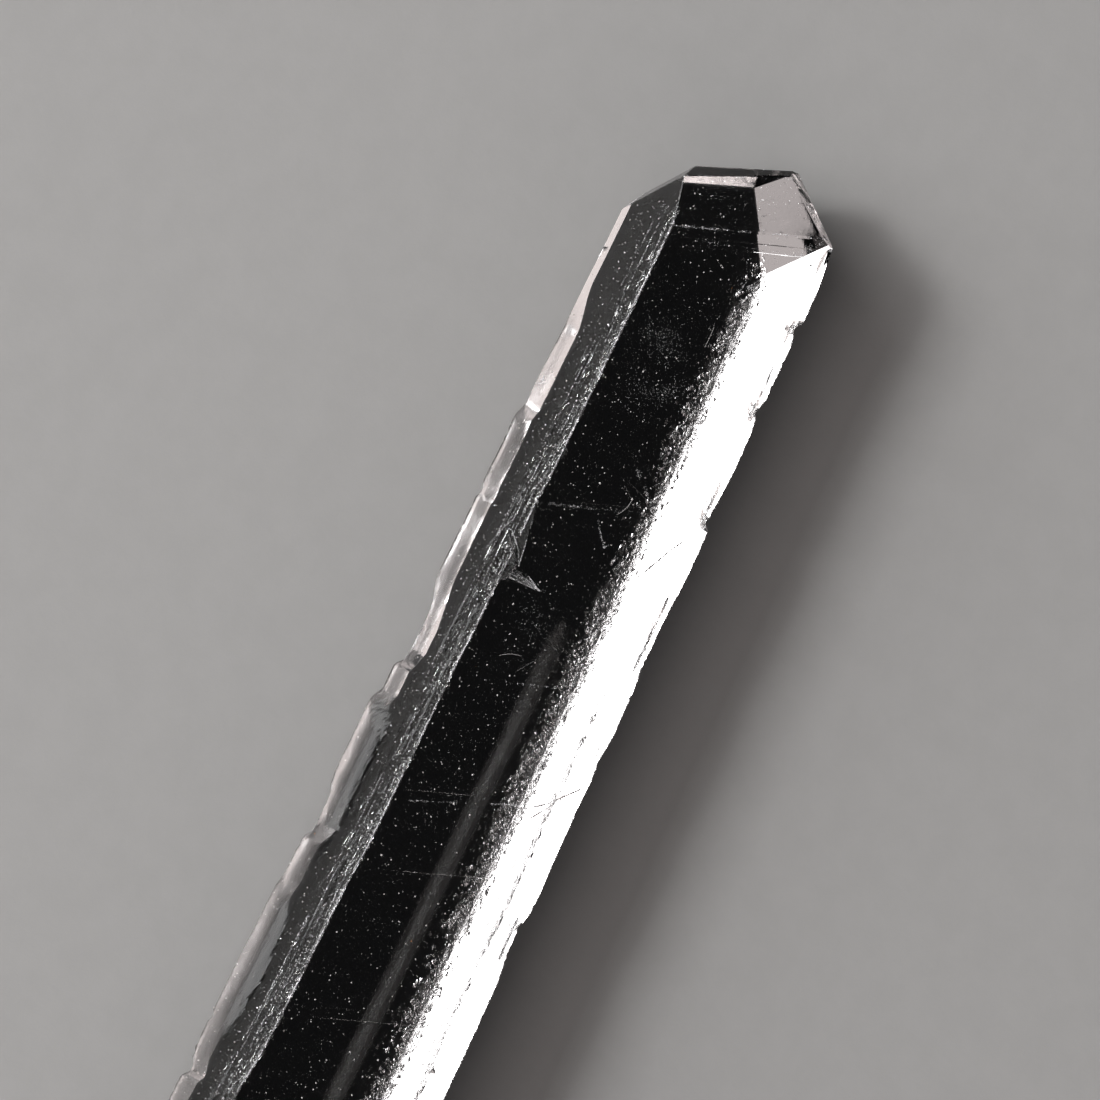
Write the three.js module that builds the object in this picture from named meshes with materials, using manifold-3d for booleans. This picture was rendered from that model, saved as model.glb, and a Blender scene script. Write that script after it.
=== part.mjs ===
// A clear, prismatic crystal that lies flat on its broad back face.
// Millimetres. X runs from the tip to the broken base, Y across the crystal, Z up.
// While it is made, X = 0 is the tip and Y = 0 the axis; at the end it is centred over the origin.

import * as THREE from 'three';
import { ConvexGeometry } from 'three/addons/geometries/ConvexGeometry.js';
import { mergeVertices } from 'three/addons/utils/BufferGeometryUtils.js';
import Module from 'manifold-3d';

const wasm = await Module();
wasm.setup();

// ---------------------------------------------------------------- driving dimensions

const LENGTH = 40.4;
const THICKNESS = 3.15;
const SLANT = 1.71; // how far a side face leans across the thickness: 61.5 degrees to the broad faces
const CLEAR = 2; // how far a cutting solid runs on past the surface that it cuts

// Edges of the front face: [distance behind the tip, distance from the axis].
// The right edge steps outward in small growth ledges, each drawn back a little before the next.
const RIGHT_EDGE = [
  [-1, 3.64], [1.8, 3.7], [3.2, 3.86], [4.0, 3.87], [4.35, 3.77], [4.9, 3.86], [6.66, 3.87],
  [7.1, 3.79], [7.41, 3.89], [8.94, 3.97], [10.7, 3.9], [10.98, 4.04], [12.3, 4.09], [13.26, 4.04],
  [15.5, 4.03], [16.0, 4.11], [17.7, 4.17], [18.6, 4.1], [19.2, 4.16], [20.3, 4.17], [22.5, 4.23],
  [23.4, 4.26], [24.2, 4.13], [24.8, 4.14], [25.3, 4.22], [26.0, 4.29], [27.2, 4.32], [29.7, 4.35],
  [34.0, 4.4], [LENGTH + 1, 4.47],
];
const LEFT_EDGE = [
  [-1, -0.945], [11.6, -0.955], [12.1, -1.0], [16.6, -1.0], [17.9, -1.035], [23.9, -1.035],
  [25.1, -1.12], [28.3, -1.125], [31.0, -1.2], [32.0, -1.33], [LENGTH + 1, -1.42],
];

// Narrow facet under the left rim: how high it rises, and how far in it starts on the back face.
const LEFT_RIM = { height: 0.2, width: 0.5 };

// Facets of the termination, each by its outward normal and one point that it passes through.
const TIP_FACETS = {
  bevel: { normal: [-0.35, -0.133, 0.928], through: [3.132, -0.945, 3.15] },
  frontSlope: { normal: [-0.742, -0.332, 0.582], through: [1.584, -1.287, 2.517] },
  rightSlope: { normal: [-0.751, 0.325, 0.575], through: [0.276, 1.683, 2.448] },
  leftShoulder: { normal: [-0.489, -0.862, 0.135], through: [1.59, -1.29, 2.52] },
  underFront: { normal: [-0.849, -0.34, -0.404], through: [0.681, 0, 2.1] },
  underRight: { normal: [-0.432, 0.696, -0.574], through: [1.845, 3.87, 3.15] },
};

// The base is one plain break across the axis, with the slant of the growth lines, and one corner off.
const BASE_BREAK = { normal: [0.91, 0.345, 0.2], through: [39.0, 0.6, 1.58] };
const BASE_CORNER = { normal: [0.62, -0.72, -0.32], through: [38.7, -2.7, 0.9] };

// Terraces on the lower part of the left side: where each starts, how far its rim reaches from the axis
// there and at the base, and the height up the side where it ends.
const LEFT_TERRACES = [
  { start: 3.7, reach: 2.65, baseReach: 2.7, top: 1.6 },
  { start: 9.5, reach: 2.79, baseReach: 2.84, top: 1.2 },
  { start: 19.2, reach: 2.96, baseReach: 3.04, top: 1.75 },
  { start: 25.6, reach: 3.06, baseReach: 3.26, top: 1.4 },
];
const TERRACE_FRONT = 0.9; // slope of a terrace's front end: how far back it leans for its height

// Low ridges that run along the upper part of the left side.
const RIDGES = { count: 26, lowest: 1.85, highest: 3.08, width: 0.11, proud: 0.035 };
const RIDGE_RUN = { first: 4.2, last: 36.6, shortest: 2.5, longest: 9 };

// The lower part of the right side, set back under a long ledge.
const RIGHT_SETBACK = { from: 16.9, to: 29.6, top: 2.0, depth: 0.05 };

// The back face right of this line, from this distance behind the tip to the base, is one low step up.
const BACK_STEP = { from: 16.1, line: 1.18, depth: 0.04, riser: 0.12 };

// Flat-sided chips, each by its corners.
const CHIPS = {
  // two bites out of the left rim, gentle on the tip's side and steep on the base's
  rimNearMiddle: [[15.2, -2.95, 0.55], [18.0, -2.35, 0.62], [18.8, -3.1, 0.55], [15.2, -2.95, -0.2],
    [17.2, -2.3, -0.2], [18.1, -2.3, -0.2], [19.0, -3.1, -0.2]],
  rimTowardBase: [[22.0, -3.2, 0.5], [23.9, -2.62, 0.6], [24.7, -3.3, 0.5], [22.0, -3.2, -0.2],
    [23.3, -2.62, -0.2], [24.0, -2.58, -0.2], [25.1, -3.3, -0.2]],
  rimAtBase: [[31.7, -3.5, 0.4], [32.4, -2.9, 0.45], [32.9, -3.5, 0.4], [31.7, -3.5, -0.2],
    [32.5, -2.84, -0.2], [33.0, -3.5, -0.2]],
  // a three-cornered bite out of the front left edge
  edgeWedge: [[12.33, -0.96, 3.16], [14.36, -0.627, 3.16], [13.27, -1.62, 2.1], [13.5, -1.8, 3.9]],
};

// Shell-shaped scars, each by its centre and its half-sizes.
const SCARS = {
  edgeHollow: { centre: [14.55, -1.45, 3.0], half: [0.62, 0.75, 0.62] },
  edgeFan: { centre: [14.68, -0.2, 3.22], half: [0.2, 0.5, 0.17] },
  edgeKnot: { centre: [10.7, -1.02, 3.15], half: [0.25, 0.16, 0.2] },
  rightEdgeLow: { centre: [24.5, 4.36, 3.0], half: [0.5, 0.25, 0.4] },
};

// Small scars in a row along the back right edge, where it is bruised.
const BRUISES = { from: 5.4, to: 37.5, count: 24, smallest: 0.14, largest: 0.3 };

const GOLDEN = 0.618034; // steps of this fraction spread repeats evenly with no visible rhythm
const spread = (i, shift = 0) => (i * GOLDEN + shift) % 1;

// ---------------------------------------------------------------- solids from three.js shapes

function solidFrom(geometry) {
  const bare = new THREE.BufferGeometry();
  bare.setAttribute('position', geometry.getAttribute('position').clone());
  if (geometry.index) bare.setIndex(geometry.index.clone());
  const merged = mergeVertices(bare, 1e-5);
  return new wasm.Manifold(new wasm.Mesh({
    numProp: 3,
    vertProperties: new Float32Array(merged.getAttribute('position').array),
    triVerts: new Uint32Array(merged.index.array),
  }));
}

function geometryFrom(solid) {
  const mesh = solid.getMesh();
  const geometry = new THREE.BufferGeometry();
  geometry.setAttribute('position', new THREE.BufferAttribute(mesh.vertProperties, 3));
  geometry.setIndex(new THREE.BufferAttribute(mesh.triVerts, 1));
  return geometry;
}

function solidAround(corners) {
  return solidFrom(new ConvexGeometry(corners.map((corner) => new THREE.Vector3(...corner))));
}

// The corner where three planes meet, or null where they don't.
function cornerOf(a, b, c) {
  const bc = new THREE.Vector3().crossVectors(b.normal, c.normal);
  const ca = new THREE.Vector3().crossVectors(c.normal, a.normal);
  const ab = new THREE.Vector3().crossVectors(a.normal, b.normal);
  const determinant = a.normal.dot(bc);
  if (Math.abs(determinant) < 1e-6) return null;
  return bc.multiplyScalar(-a.constant)
    .addScaledVector(ca, -b.constant)
    .addScaledVector(ab, -c.constant)
    .divideScalar(determinant);
}

// The convex solid on the inner side of every given facet.
function solidWithin(facets) {
  const planes = facets.map(({ normal, through }) => {
    const outward = new THREE.Vector3(...normal).normalize();
    return new THREE.Plane().setFromNormalAndCoplanarPoint(outward, new THREE.Vector3(...through));
  });
  const corners = [];
  for (let i = 0; i < planes.length; i += 1) {
    for (let j = i + 1; j < planes.length; j += 1) {
      for (let k = j + 1; k < planes.length; k += 1) {
        const corner = cornerOf(planes[i], planes[j], planes[k]);
        if (corner && planes.every((plane) => plane.distanceToPoint(corner) < 1e-6)) {
          corners.push(corner.toArray());
        }
      }
    }
  }
  return solidAround(corners);
}

// ---------------------------------------------------------------- the prism

function edgeAt(edge, x) {
  const next = Math.max(1, edge.findIndex(([edgeX]) => edgeX >= x));
  const [x0, y0] = edge[next - 1];
  const [x1, y1] = edge[next];
  return y0 + ((y1 - y0) * (x - x0)) / (x1 - x0);
}

// How far the left side leans out from the front edge at a height.
const leanAt = (z) => SLANT * (1 - z / THICKNESS);

// One section, anticlockwise as the tip sees it: front left, left rim, back left, back right, front right.
function sectionAt(x) {
  const left = edgeAt(LEFT_EDGE, x);
  const right = edgeAt(RIGHT_EDGE, x);
  const rim = left - leanAt(LEFT_RIM.height);
  return [
    [x, left, THICKNESS],
    [x, rim, LEFT_RIM.height],
    [x, rim + LEFT_RIM.width, 0],
    [x, right - SLANT, 0],
    [x, right, THICKNESS],
  ];
}

function prism() {
  const stations = [...new Set([...LEFT_EDGE, ...RIGHT_EDGE].map(([x]) => x))].sort((a, b) => a - b);
  const sections = stations.map(sectionAt);
  const sides = sections[0].length;
  const index = [];
  for (let i = 0; i + 1 < sections.length; i += 1) {
    for (let j = 0; j < sides; j += 1) {
      const a = i * sides + j;
      const b = i * sides + ((j + 1) % sides);
      index.push(a, b, a + sides, b, b + sides, a + sides);
    }
  }
  const last = (sections.length - 1) * sides;
  for (let j = 1; j + 1 < sides; j += 1) {
    index.push(0, j + 1, j);
    index.push(last, last + j, last + j + 1);
  }
  const geometry = new THREE.BufferGeometry();
  geometry.setAttribute('position', new THREE.Float32BufferAttribute(sections.flat(2), 3));
  geometry.setIndex(index);
  return solidFrom(geometry);
}

// ---------------------------------------------------------------- what grew on it

// A terrace is a thin layer on the left side, from its sloping front end to beyond the base.
function terrace({ start, reach, baseReach, top }) {
  const end = LENGTH + CLEAR;
  const section = (x, rim, height) => {
    const outer = (z) => -rim + SLANT * ((z - LEFT_RIM.height) / THICKNESS);
    const inner = -1.2;
    return [
      [x, outer(height), height],
      [x, -rim, LEFT_RIM.height],
      [x, -rim + LEFT_RIM.width, 0],
      [x, inner, 0],
      [x, inner, height],
    ];
  };
  const slant = TERRACE_FRONT * top;
  const front = section(start, reach, top).map(([x, y, z]) => [x + slant * (z / top), y, z]);
  return solidAround([...front, ...section(end, baseReach, top)]);
}

// A ridge is a long, low, three-sided rib that fades into the side at both ends.
function ridge(i) {
  const z = RIDGES.lowest + (RIDGES.highest - RIDGES.lowest) * spread(i, 0.2);
  const length = RIDGE_RUN.shortest + (RIDGE_RUN.longest - RIDGE_RUN.shortest) * spread(i * 3, 0.5);
  const start = RIDGE_RUN.first + (RIDGE_RUN.last - RIDGE_RUN.first - length) * spread(i * 5, 0.1);
  const at = (x, height, out) => [x, edgeAt(LEFT_EDGE, x) - leanAt(height) - out, height];
  const half = RIDGES.width / 2;
  const shoulder = length * 0.15;
  return solidAround([
    at(start, z, -0.02),
    at(start + length, z, -0.02),
    at(start + shoulder, z + half, -0.01),
    at(start + shoulder, z - half, -0.01),
    at(start + length - shoulder, z + half, -0.01),
    at(start + length - shoulder, z - half, -0.01),
    at(start + shoulder, z, RIDGES.proud),
    at(start + length - shoulder, z, RIDGES.proud),
    at(start + length / 2, z, -0.12),
  ]);
}

// ---------------------------------------------------------------- what is cut away

// The wedge of space under the right ledge.
function rightSetback() {
  const { from, to, top, depth } = RIGHT_SETBACK;
  const corners = [];
  for (const [x, set] of [[from, 0], [from + 0.6, depth], [to - 1.5, depth], [to, 0]]) {
    const face = (z) => edgeAt(RIGHT_EDGE, x) - leanAt(z);
    corners.push([x, face(top) - set * 0.5, top], [x, face(top) + CLEAR, top + 0.05]);
    corners.push([x, face(-0.5) - set, -0.5], [x, face(-0.5) + CLEAR, -0.5]);
  }
  return solidAround(corners);
}

function backStep() {
  const { from, line, depth, riser } = BACK_STEP;
  const end = LENGTH + CLEAR;
  const far = 2 * THICKNESS;
  return solidAround([
    [from, line, -CLEAR], [from, far, -CLEAR], [end, far, -CLEAR], [end, line, -CLEAR],
    [from, line, 0], [end, line, 0], [from, far, 0],
    [from + riser, line + riser, depth], [from + riser, far, depth],
    [end, line + riser, depth], [end, far, depth],
  ]);
}

function scar({ centre, half }) {
  const geometry = new THREE.IcosahedronGeometry(1, 2);
  geometry.scale(...half);
  geometry.translate(...centre);
  return solidFrom(geometry);
}

function bruise(i) {
  const x = BRUISES.from + ((BRUISES.to - BRUISES.from) * (i + 0.6 * spread(i * 2))) / BRUISES.count;
  const size = BRUISES.smallest + (BRUISES.largest - BRUISES.smallest) * spread(i * 3);
  const y = edgeAt(RIGHT_EDGE, x) - SLANT + size * 0.25;
  return scar({ centre: [x, y, -0.2 * size], half: [1.3 * size, 0.8 * size, 0.7 * size] });
}

const repeats = (count, make) => Array.from({ length: count }, (_, i) => make(i));

// ---------------------------------------------------------------- the crystal

function crystal() {
  const box = [
    { normal: [1, 0, 0], through: [LENGTH + CLEAR, 0, 0] },
    { normal: [0, -1, 0], through: [0, -2 * THICKNESS, 0] },
    { normal: [0, 1, 0], through: [0, 2 * THICKNESS, 0] },
    { normal: [0, 0, 1], through: [0, 0, THICKNESS + CLEAR] },
    { normal: [0, 0, -1], through: [0, 0, -CLEAR] },
  ];
  let solid = prism();
  for (const layer of LEFT_TERRACES) solid = solid.add(terrace(layer));
  for (const rib of repeats(RIDGES.count, ridge)) solid = solid.add(rib);
  solid = solid.intersect(solidWithin([...Object.values(TIP_FACETS), BASE_BREAK, BASE_CORNER, ...box]));
  const cuts = [
    rightSetback(),
    backStep(),
    ...Object.values(CHIPS).map(solidAround),
    ...Object.values(SCARS).map(scar),
    ...repeats(BRUISES.count, bruise),
  ];
  for (const cut of cuts) solid = solid.subtract(cut);
  return solid;
}

const geometry = geometryFrom(crystal());
geometry.computeBoundingBox();
const centre = geometry.boundingBox.getCenter(new THREE.Vector3());

const mesh = new THREE.Mesh(
  geometry,
  new THREE.MeshStandardMaterial({
    color: 0xe9e6e4,
    roughness: 0.06,
    metalness: 0,
    transparent: true,
    opacity: 0.55,
    flatShading: true,
  }),
);
mesh.name = 'nifontovite_crystal';
mesh.position.set(-centre.x, -centre.y, -geometry.boundingBox.min.z);

const part = new THREE.Group();
part.add(mesh);

export default part;
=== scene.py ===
"""A clear, prismatic nifontovite crystal that lies on its broad back face, with the dust on it.

The crystal is shaped in its growth frame: millimetres, X from the tip towards the broken base, Y to the
right and Z up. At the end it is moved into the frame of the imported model, in metres.
"""

import logging
import math
from dataclasses import dataclass
from enum import Enum
from typing import Callable, Iterable, Sequence

import bmesh
import bpy
import numpy as np
from bpy.types import ID, Material, Mesh, Node, NodeSocket, NodeTree, Object
from mathutils import Euler, Matrix, Vector
from mathutils.bvhtree import BVHTree


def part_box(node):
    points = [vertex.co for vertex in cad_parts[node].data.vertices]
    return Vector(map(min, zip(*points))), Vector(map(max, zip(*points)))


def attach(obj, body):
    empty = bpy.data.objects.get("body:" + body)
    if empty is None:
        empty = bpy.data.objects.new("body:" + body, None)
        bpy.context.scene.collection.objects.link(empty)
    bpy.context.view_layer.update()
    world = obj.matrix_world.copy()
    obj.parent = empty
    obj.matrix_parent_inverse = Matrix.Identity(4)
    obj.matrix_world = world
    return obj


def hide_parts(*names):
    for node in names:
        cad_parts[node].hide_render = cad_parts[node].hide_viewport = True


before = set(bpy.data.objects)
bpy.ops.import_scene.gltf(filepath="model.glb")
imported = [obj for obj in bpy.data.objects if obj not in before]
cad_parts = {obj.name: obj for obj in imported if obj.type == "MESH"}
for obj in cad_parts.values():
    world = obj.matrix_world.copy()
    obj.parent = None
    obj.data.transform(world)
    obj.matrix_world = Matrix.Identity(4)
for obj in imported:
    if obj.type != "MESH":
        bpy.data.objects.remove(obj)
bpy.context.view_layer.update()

log = logging.getLogger("nifontovite")

NODE = "nifontovite_crystal"
BODY = "root"
MM = 0.001
AXIS_OFFSET = 0.6131  # how far the growth axis lies left of the middle of the model's box

Triple = tuple[float, float, float]
Span = tuple[float, float]  # the two ends of a range
Line = tuple[tuple[float, float], ...]
Array = np.ndarray
Source = NodeSocket | float | tuple[float, ...]

GOLDEN = 0.618034  # steps of this fraction spread repeats evenly with no visible rhythm
FULL_TURN = 6.28
WORN = "worn"  # the surface value that roughens the crystal
PITTED = "pitted"  # the surface value that pits it


# ---------------------------------------------------------------- shared tools


class Grain:
    """Repeatable smooth noise over a plane, read from a table of seeded random heights."""

    CELLS = 256

    def __init__(self, seed: int) -> None:
        """Fill the table.

        Args:
            seed: Picks one of the possible tables.
        """
        self.table = np.random.default_rng(seed).random((self.CELLS, self.CELLS))

    def smooth(self, u: Array, v: Array) -> Array:
        """Read the noise between the cells of the table.

        Args:
            u: Places along the first direction, in cells.
            v: Places along the second direction, in cells.

        Returns:
            Heights from 0 to 1.
        """
        low_u, low_v = np.floor(u).astype(int), np.floor(v).astype(int)
        part_u, part_v = u - low_u, v - low_v
        part_u, part_v = part_u * part_u * (3 - 2 * part_u), part_v * part_v * (3 - 2 * part_v)
        a, b = low_u % self.CELLS, low_v % self.CELLS
        next_a, next_b = (a + 1) % self.CELLS, (b + 1) % self.CELLS
        near = self.table[a, b] * (1 - part_u) + self.table[next_a, b] * part_u
        far = self.table[a, next_b] * (1 - part_u) + self.table[next_a, next_b] * part_u
        return near * (1 - part_v) + far * part_v

    def layered(self, u: Array, v: Array, layers: int = 3) -> Array:
        """Add finer and fainter copies of the noise.

        Args:
            u: Places along the first direction, in cells.
            v: Places along the second direction, in cells.
            layers: How many copies, each twice as fine and half as strong.

        Returns:
            Heights from 0 to 1.
        """
        total, weight = np.zeros(np.broadcast(u, v).shape), 0.0
        for layer in range(layers):
            share = 0.5**layer
            total += share * self.smooth(u * 2**layer + 17.3 * layer, v * 2**layer + 5.1 * layer)
            weight += share
        return total / weight

    def along(self, u: Array, row: float, layers: int = 1) -> Array:
        """Read the noise along one row of the table.

        Args:
            u: Places along the row, in cells.
            row: Which row.
            layers: How many copies, each twice as fine and half as strong.

        Returns:
            Heights from 0 to 1.
        """
        return self.layered(u, np.full(np.shape(u), row), layers)


def ramp(value: Array, low: float, high: float) -> Array:
    """Rise smoothly from 0 at one value to 1 at another.

    Args:
        value: The values to read.
        low: Where the ramp is 0.
        high: Where the ramp is 1; it may be the smaller of the two.

    Returns:
        The ramp at each value.
    """
    part = np.clip((value - low) / (high - low), 0.0, 1.0)
    return part * part * (3 - 2 * part)


def soft_max(a: Array, b: Array, blend: float) -> Array:
    """Return the larger of two values, with the crossing rounded over a blend distance."""
    return 0.5 * (a + b + np.sqrt((a - b) ** 2 + blend**2))


def spread(index: int, shift: float = 0.0) -> float:
    """Return a fraction from 0 to 1, one of many that are spread evenly."""
    return (index * GOLDEN + shift) % 1


def within(span: Span, share: float | Array) -> float | Array:
    """Return the value that lies a share of the way through a range."""
    return span[0] + (span[1] - span[0]) * share


def swell(x: Array, start: float, length: float, share: float) -> Array:
    """Rise from 0 to 1 at the start of a stretch, and fall again at its end.

    Args:
        x: The places to read.
        start: Where the stretch starts.
        length: How long it is.
        share: The share of the length that the rise and the fall each take.

    Returns:
        The swell at each place.
    """
    return ramp(x, start, start + share * length) * ramp(x, start + length, start + (1 - share) * length)


def plateau(value: Array, start: float, whole: float, still: float, end: float) -> Array:
    """Rise from 0 to 1 between start and whole, and fall again between still and end."""
    return ramp(value, start, whole) * ramp(value, end, still)


def thinned(places: Array, thick: Array, span: Span, random: np.random.Generator) -> Array:
    """Keep some places by chance, and more of them where they gather.

    Args:
        places: The places to choose from.
        thick: A noise height for each of them.
        span: The heights where none and where all of them are kept.
        random: The source of chance.

    Returns:
        The places that are kept.
    """
    return places[ramp(thick, *span) > random.random(len(places))]


class Route:
    """A path by its corners, which can be read at any distance along it."""

    def __init__(self, corners: Sequence[Sequence[float]]) -> None:
        """Measure the path."""
        self.corners = np.array(corners, dtype=float)
        self.run = np.append(0.0, np.cumsum(np.linalg.norm(np.diff(self.corners, axis=0), axis=1)))

    @property
    def length(self) -> float:
        """Return the length of the whole path."""
        return self.run[-1]

    def at(self, distance: Array) -> Array:
        """Return the places at some distances along the path, one row each."""
        return np.stack([np.interp(distance, self.run, column) for column in self.corners.T], axis=1)


def in_scene(name: str, data: ID) -> Object:
    """Make an object and put it in the scene.

    Args:
        name: The object's name.
        data: Its mesh, light or camera.

    Returns:
        The new object.
    """
    made = bpy.data.objects.new(name, data)
    bpy.context.scene.collection.objects.link(made)
    return made


def mesh_object(name: str, points: Array, faces: Sequence[Sequence[int]]) -> Object:
    """Make a flat-shaded mesh and put it in the scene.

    Args:
        name: The object's name.
        points: The corners, one row each.
        faces: The corners of each face.

    Returns:
        The new object.
    """
    mesh = bpy.data.meshes.new(name)
    mesh.from_pydata([tuple(point) for point in np.asarray(points, dtype=float)], [], faces)
    mesh.validate()
    mesh.update()
    return in_scene(name, mesh)


def points_of(mesh: Mesh) -> Array:
    """Read the corners of a mesh.

    Args:
        mesh: The mesh.

    Returns:
        The corners, one row each.
    """
    flat = np.empty(len(mesh.vertices) * 3, dtype=np.float32)
    mesh.vertices.foreach_get("co", flat)
    return flat.reshape(-1, 3).astype(float)


def set_points(mesh: Mesh, points: Array) -> None:
    """Move the corners of a mesh to new places, one row each."""
    mesh.vertices.foreach_set("co", points.astype(np.float32).ravel())
    mesh.update()


def mend(mesh: Mesh, triangulate: bool, face_out: bool) -> None:
    """Put the faces of a closed mesh in order.

    Args:
        mesh: The mesh, changed in place.
        triangulate: Whether the faces are cut into triangles.
        face_out: Whether the faces are turned outward.
    """
    shell = bmesh.new()
    shell.from_mesh(mesh)
    if triangulate:
        bmesh.ops.triangulate(shell, faces=shell.faces)
    if face_out:
        bmesh.ops.recalc_face_normals(shell, faces=shell.faces)
    shell.to_mesh(mesh)
    shell.free()


def convex_object(name: str, corners: Iterable[Sequence[float]]) -> Object:
    """Make the convex solid around some corners.

    Args:
        name: The object's name.
        corners: The points to enclose.

    Returns:
        The new object, with its faces pointing out.
    """
    shell = bmesh.new()
    for corner in corners:
        shell.verts.new(corner)
    hull = bmesh.ops.convex_hull(shell, input=shell.verts)
    bmesh.ops.delete(shell, geom=list({*hull["geom_interior"], *hull["geom_unused"]}), context="VERTS")
    bmesh.ops.triangulate(shell, faces=shell.faces)
    bmesh.ops.recalc_face_normals(shell, faces=shell.faces)
    mesh = bpy.data.meshes.new(name)
    shell.to_mesh(mesh)
    shell.free()
    return in_scene(name, mesh)


class Join(Enum):
    """What a tool leaves of the solid that it is worked into."""

    CUT = "DIFFERENCE"
    KEEP_INSIDE = "INTERSECT"


def work(body: Object, tool: Object, how: Join) -> None:
    """Cut a solid with another one, and remove the tool.

    Args:
        body: The solid that is changed.
        tool: The solid that it is cut with.
        how: Which side of the tool is kept.
    """
    step = body.modifiers.new(tool.name, "BOOLEAN")
    step.operation, step.solver, step.object = how.value, "MANIFOLD", tool
    bpy.context.view_layer.update()
    shaped = bpy.data.meshes.new_from_object(body.evaluated_get(bpy.context.evaluated_depsgraph_get()))
    old = body.data
    body.modifiers.remove(step)
    body.data = shaped
    shaped.name = old.name
    bpy.data.meshes.remove(old)
    bpy.data.objects.remove(tool)


# ---------------------------------------------------------------- the growth form


@dataclass(frozen=True)
class Facet:
    """A flat facet: its outward normal, and one point that it passes through."""

    normal: Triple
    through: Triple

    def plane(self) -> Array:
        """Return the unit normal and the distance from the origin, in one row."""
        outward = np.array(self.normal) / np.linalg.norm(self.normal)
        return np.append(outward, outward @ np.array(self.through))


@dataclass(frozen=True)
class Terrace:
    """A thin layer on the left side: its start, its rim's reach there and at the base, and its top.

    run_in is the distance over which it rises to its full thickness.
    """

    start: float
    reach: float
    base_reach: float
    top: float
    run_in: float = 0.6


@dataclass(frozen=True)
class GrowthForm:
    """The crystal's main sizes in its growth frame.

    Each outline is drawn as [distance behind the tip, distance from the growth axis].
    """

    length: float = 40.4
    thickness: float = 3.15
    slant: float = 1.71  # how far a side leans across the thickness
    # the narrow facet under the left rim: its sizes, the share of them at the tip, and where it grows
    rim_height: float = 0.36
    rim_width: float = 0.95
    rim_at_tip: float = 0.5
    rim_grows: Span = (5.5, 7.4)
    right_edge: Line = (
        (-1, 3.64), (1.8, 3.7), (3.2, 3.86), (4.0, 3.87), (4.35, 3.77), (4.9, 3.86), (6.66, 3.87),
        (7.1, 3.79), (7.41, 3.89), (8.94, 3.97), (10.7, 3.9), (10.98, 4.04), (12.3, 4.09),
        (13.26, 4.04), (15.5, 4.03), (16.0, 4.11), (17.7, 4.17), (18.6, 4.1), (19.2, 4.16),
        (20.3, 4.17), (22.5, 4.23), (23.4, 4.26), (24.2, 4.13), (24.8, 4.14), (25.3, 4.22),
        (26.0, 4.29), (27.2, 4.32), (29.7, 4.35), (34.0, 4.4), (41.4, 4.47),
    )
    # where the right side's plane meets the front, without the small ledges that crinkle its edge
    right_plane: Line = (
        (-1, 3.62), (3.2, 3.87), (7.4, 3.94), (12.3, 4.09), (17.7, 4.17), (23.4, 4.26), (29.7, 4.35),
        (41.4, 4.47),
    )
    crinkled: Span = (2.35, 3.0)  # the heights where the ledges start and where they are whole
    left_edge: Line = (
        (-1, -0.945), (11.6, -0.955), (12.1, -1.0), (16.6, -1.0), (17.9, -1.035), (23.9, -1.035),
        (25.1, -1.12), (28.3, -1.125), (31.0, -1.2), (32.0, -1.33), (41.4, -1.42),
    )
    terraces: tuple[Terrace, ...] = (
        Terrace(3.7, 2.62, 2.66, 1.6, 4.5),
        Terrace(9.5, 2.79, 2.84, 1.2),
        Terrace(19.2, 2.96, 3.04, 1.75),
        Terrace(25.6, 3.06, 3.26, 1.4),
    )
    terrace_front: float = 0.9  # how far back the front end of a terrace leans for its height
    terrace_lead: float = 0.1
    terrace_uneven: float = 0.5
    terrace_uneven_length: float = 1.3
    terrace_fade: float = 1.15
    terrace_end: float = 42.4
    uneven: Grain = Grain(3)
    # re-entrants of the left rim: how far the rim reaches there
    bites: tuple[Line, ...] = (
        ((15.1, 3.1), (15.9, 2.72), (17.2, 2.34), (18.05, 2.32), (18.5, 2.6), (19.0, 3.2)),
        ((21.9, 3.3), (22.8, 2.95), (23.4, 2.66), (24.0, 2.6), (24.5, 2.9), (25.1, 3.4)),
        ((31.6, 3.5), (32.1, 3.1), (32.5, 2.9), (33.1, 3.5)),
        ((12.2, 3.0), (12.6, 2.74), (12.9, 2.72), (13.15, 3.0)),
    )
    bite_top: float = 0.62
    bite_closes: float = 3.0  # how fast a bite ends above its top
    bite_lean: float = 0.5  # the share of the side's lean that a bite follows
    bite_round: float = 0.07
    # the lower part of the right side: how far it is set back
    setback: Line = ((16.9, 0.0), (18.5, 0.022), (21.0, 0.014), (24.0, 0.03), (28.1, 0.03), (29.6, 0.0))
    setback_top: float = 2.0
    setback_ledge: Span = (0.14, -0.2)  # its ledge's upper and lower end, from that top
    # the low step of the back face: where it starts, and its line across
    back_step_from: float = 16.1
    back_step_run_in: Span = (-1.5, 2.5)
    back_step_line: float = 1.18
    back_step_riser: float = 0.3
    back_step_depth: float = 0.04

    @property
    def steep(self) -> float:
        """Return the length down a side for each millimetre of height."""
        return math.hypot(self.slant, self.thickness) / self.thickness

    def lean(self, z: Array) -> Array:
        """Return how far a side leans out from the front edge at some heights."""
        return self.slant * (1 - z / self.thickness)

    def rim(self, x: Array) -> tuple[Array, Array]:
        """Return the rim's height and width at some distances behind the tip."""
        size = self.rim_at_tip + (1 - self.rim_at_tip) * ramp(x, *self.rim_grows)
        return self.rim_height * size, self.rim_width * size

    def left(self, x: Array) -> Array:
        """Return the front face's left edge at some distances behind the tip."""
        return np.interp(x, *zip(*self.left_edge))

    def right(self, x: Array) -> Array:
        """Return the front face's right edge at some distances behind the tip."""
        return np.interp(x, *zip(*self.right_edge))

    def right_flat(self, x: Array) -> Array:
        """Return where the right side's plane, without the small ledges at its edge, meets the front."""
        return np.interp(x, *zip(*self.right_plane))

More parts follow.
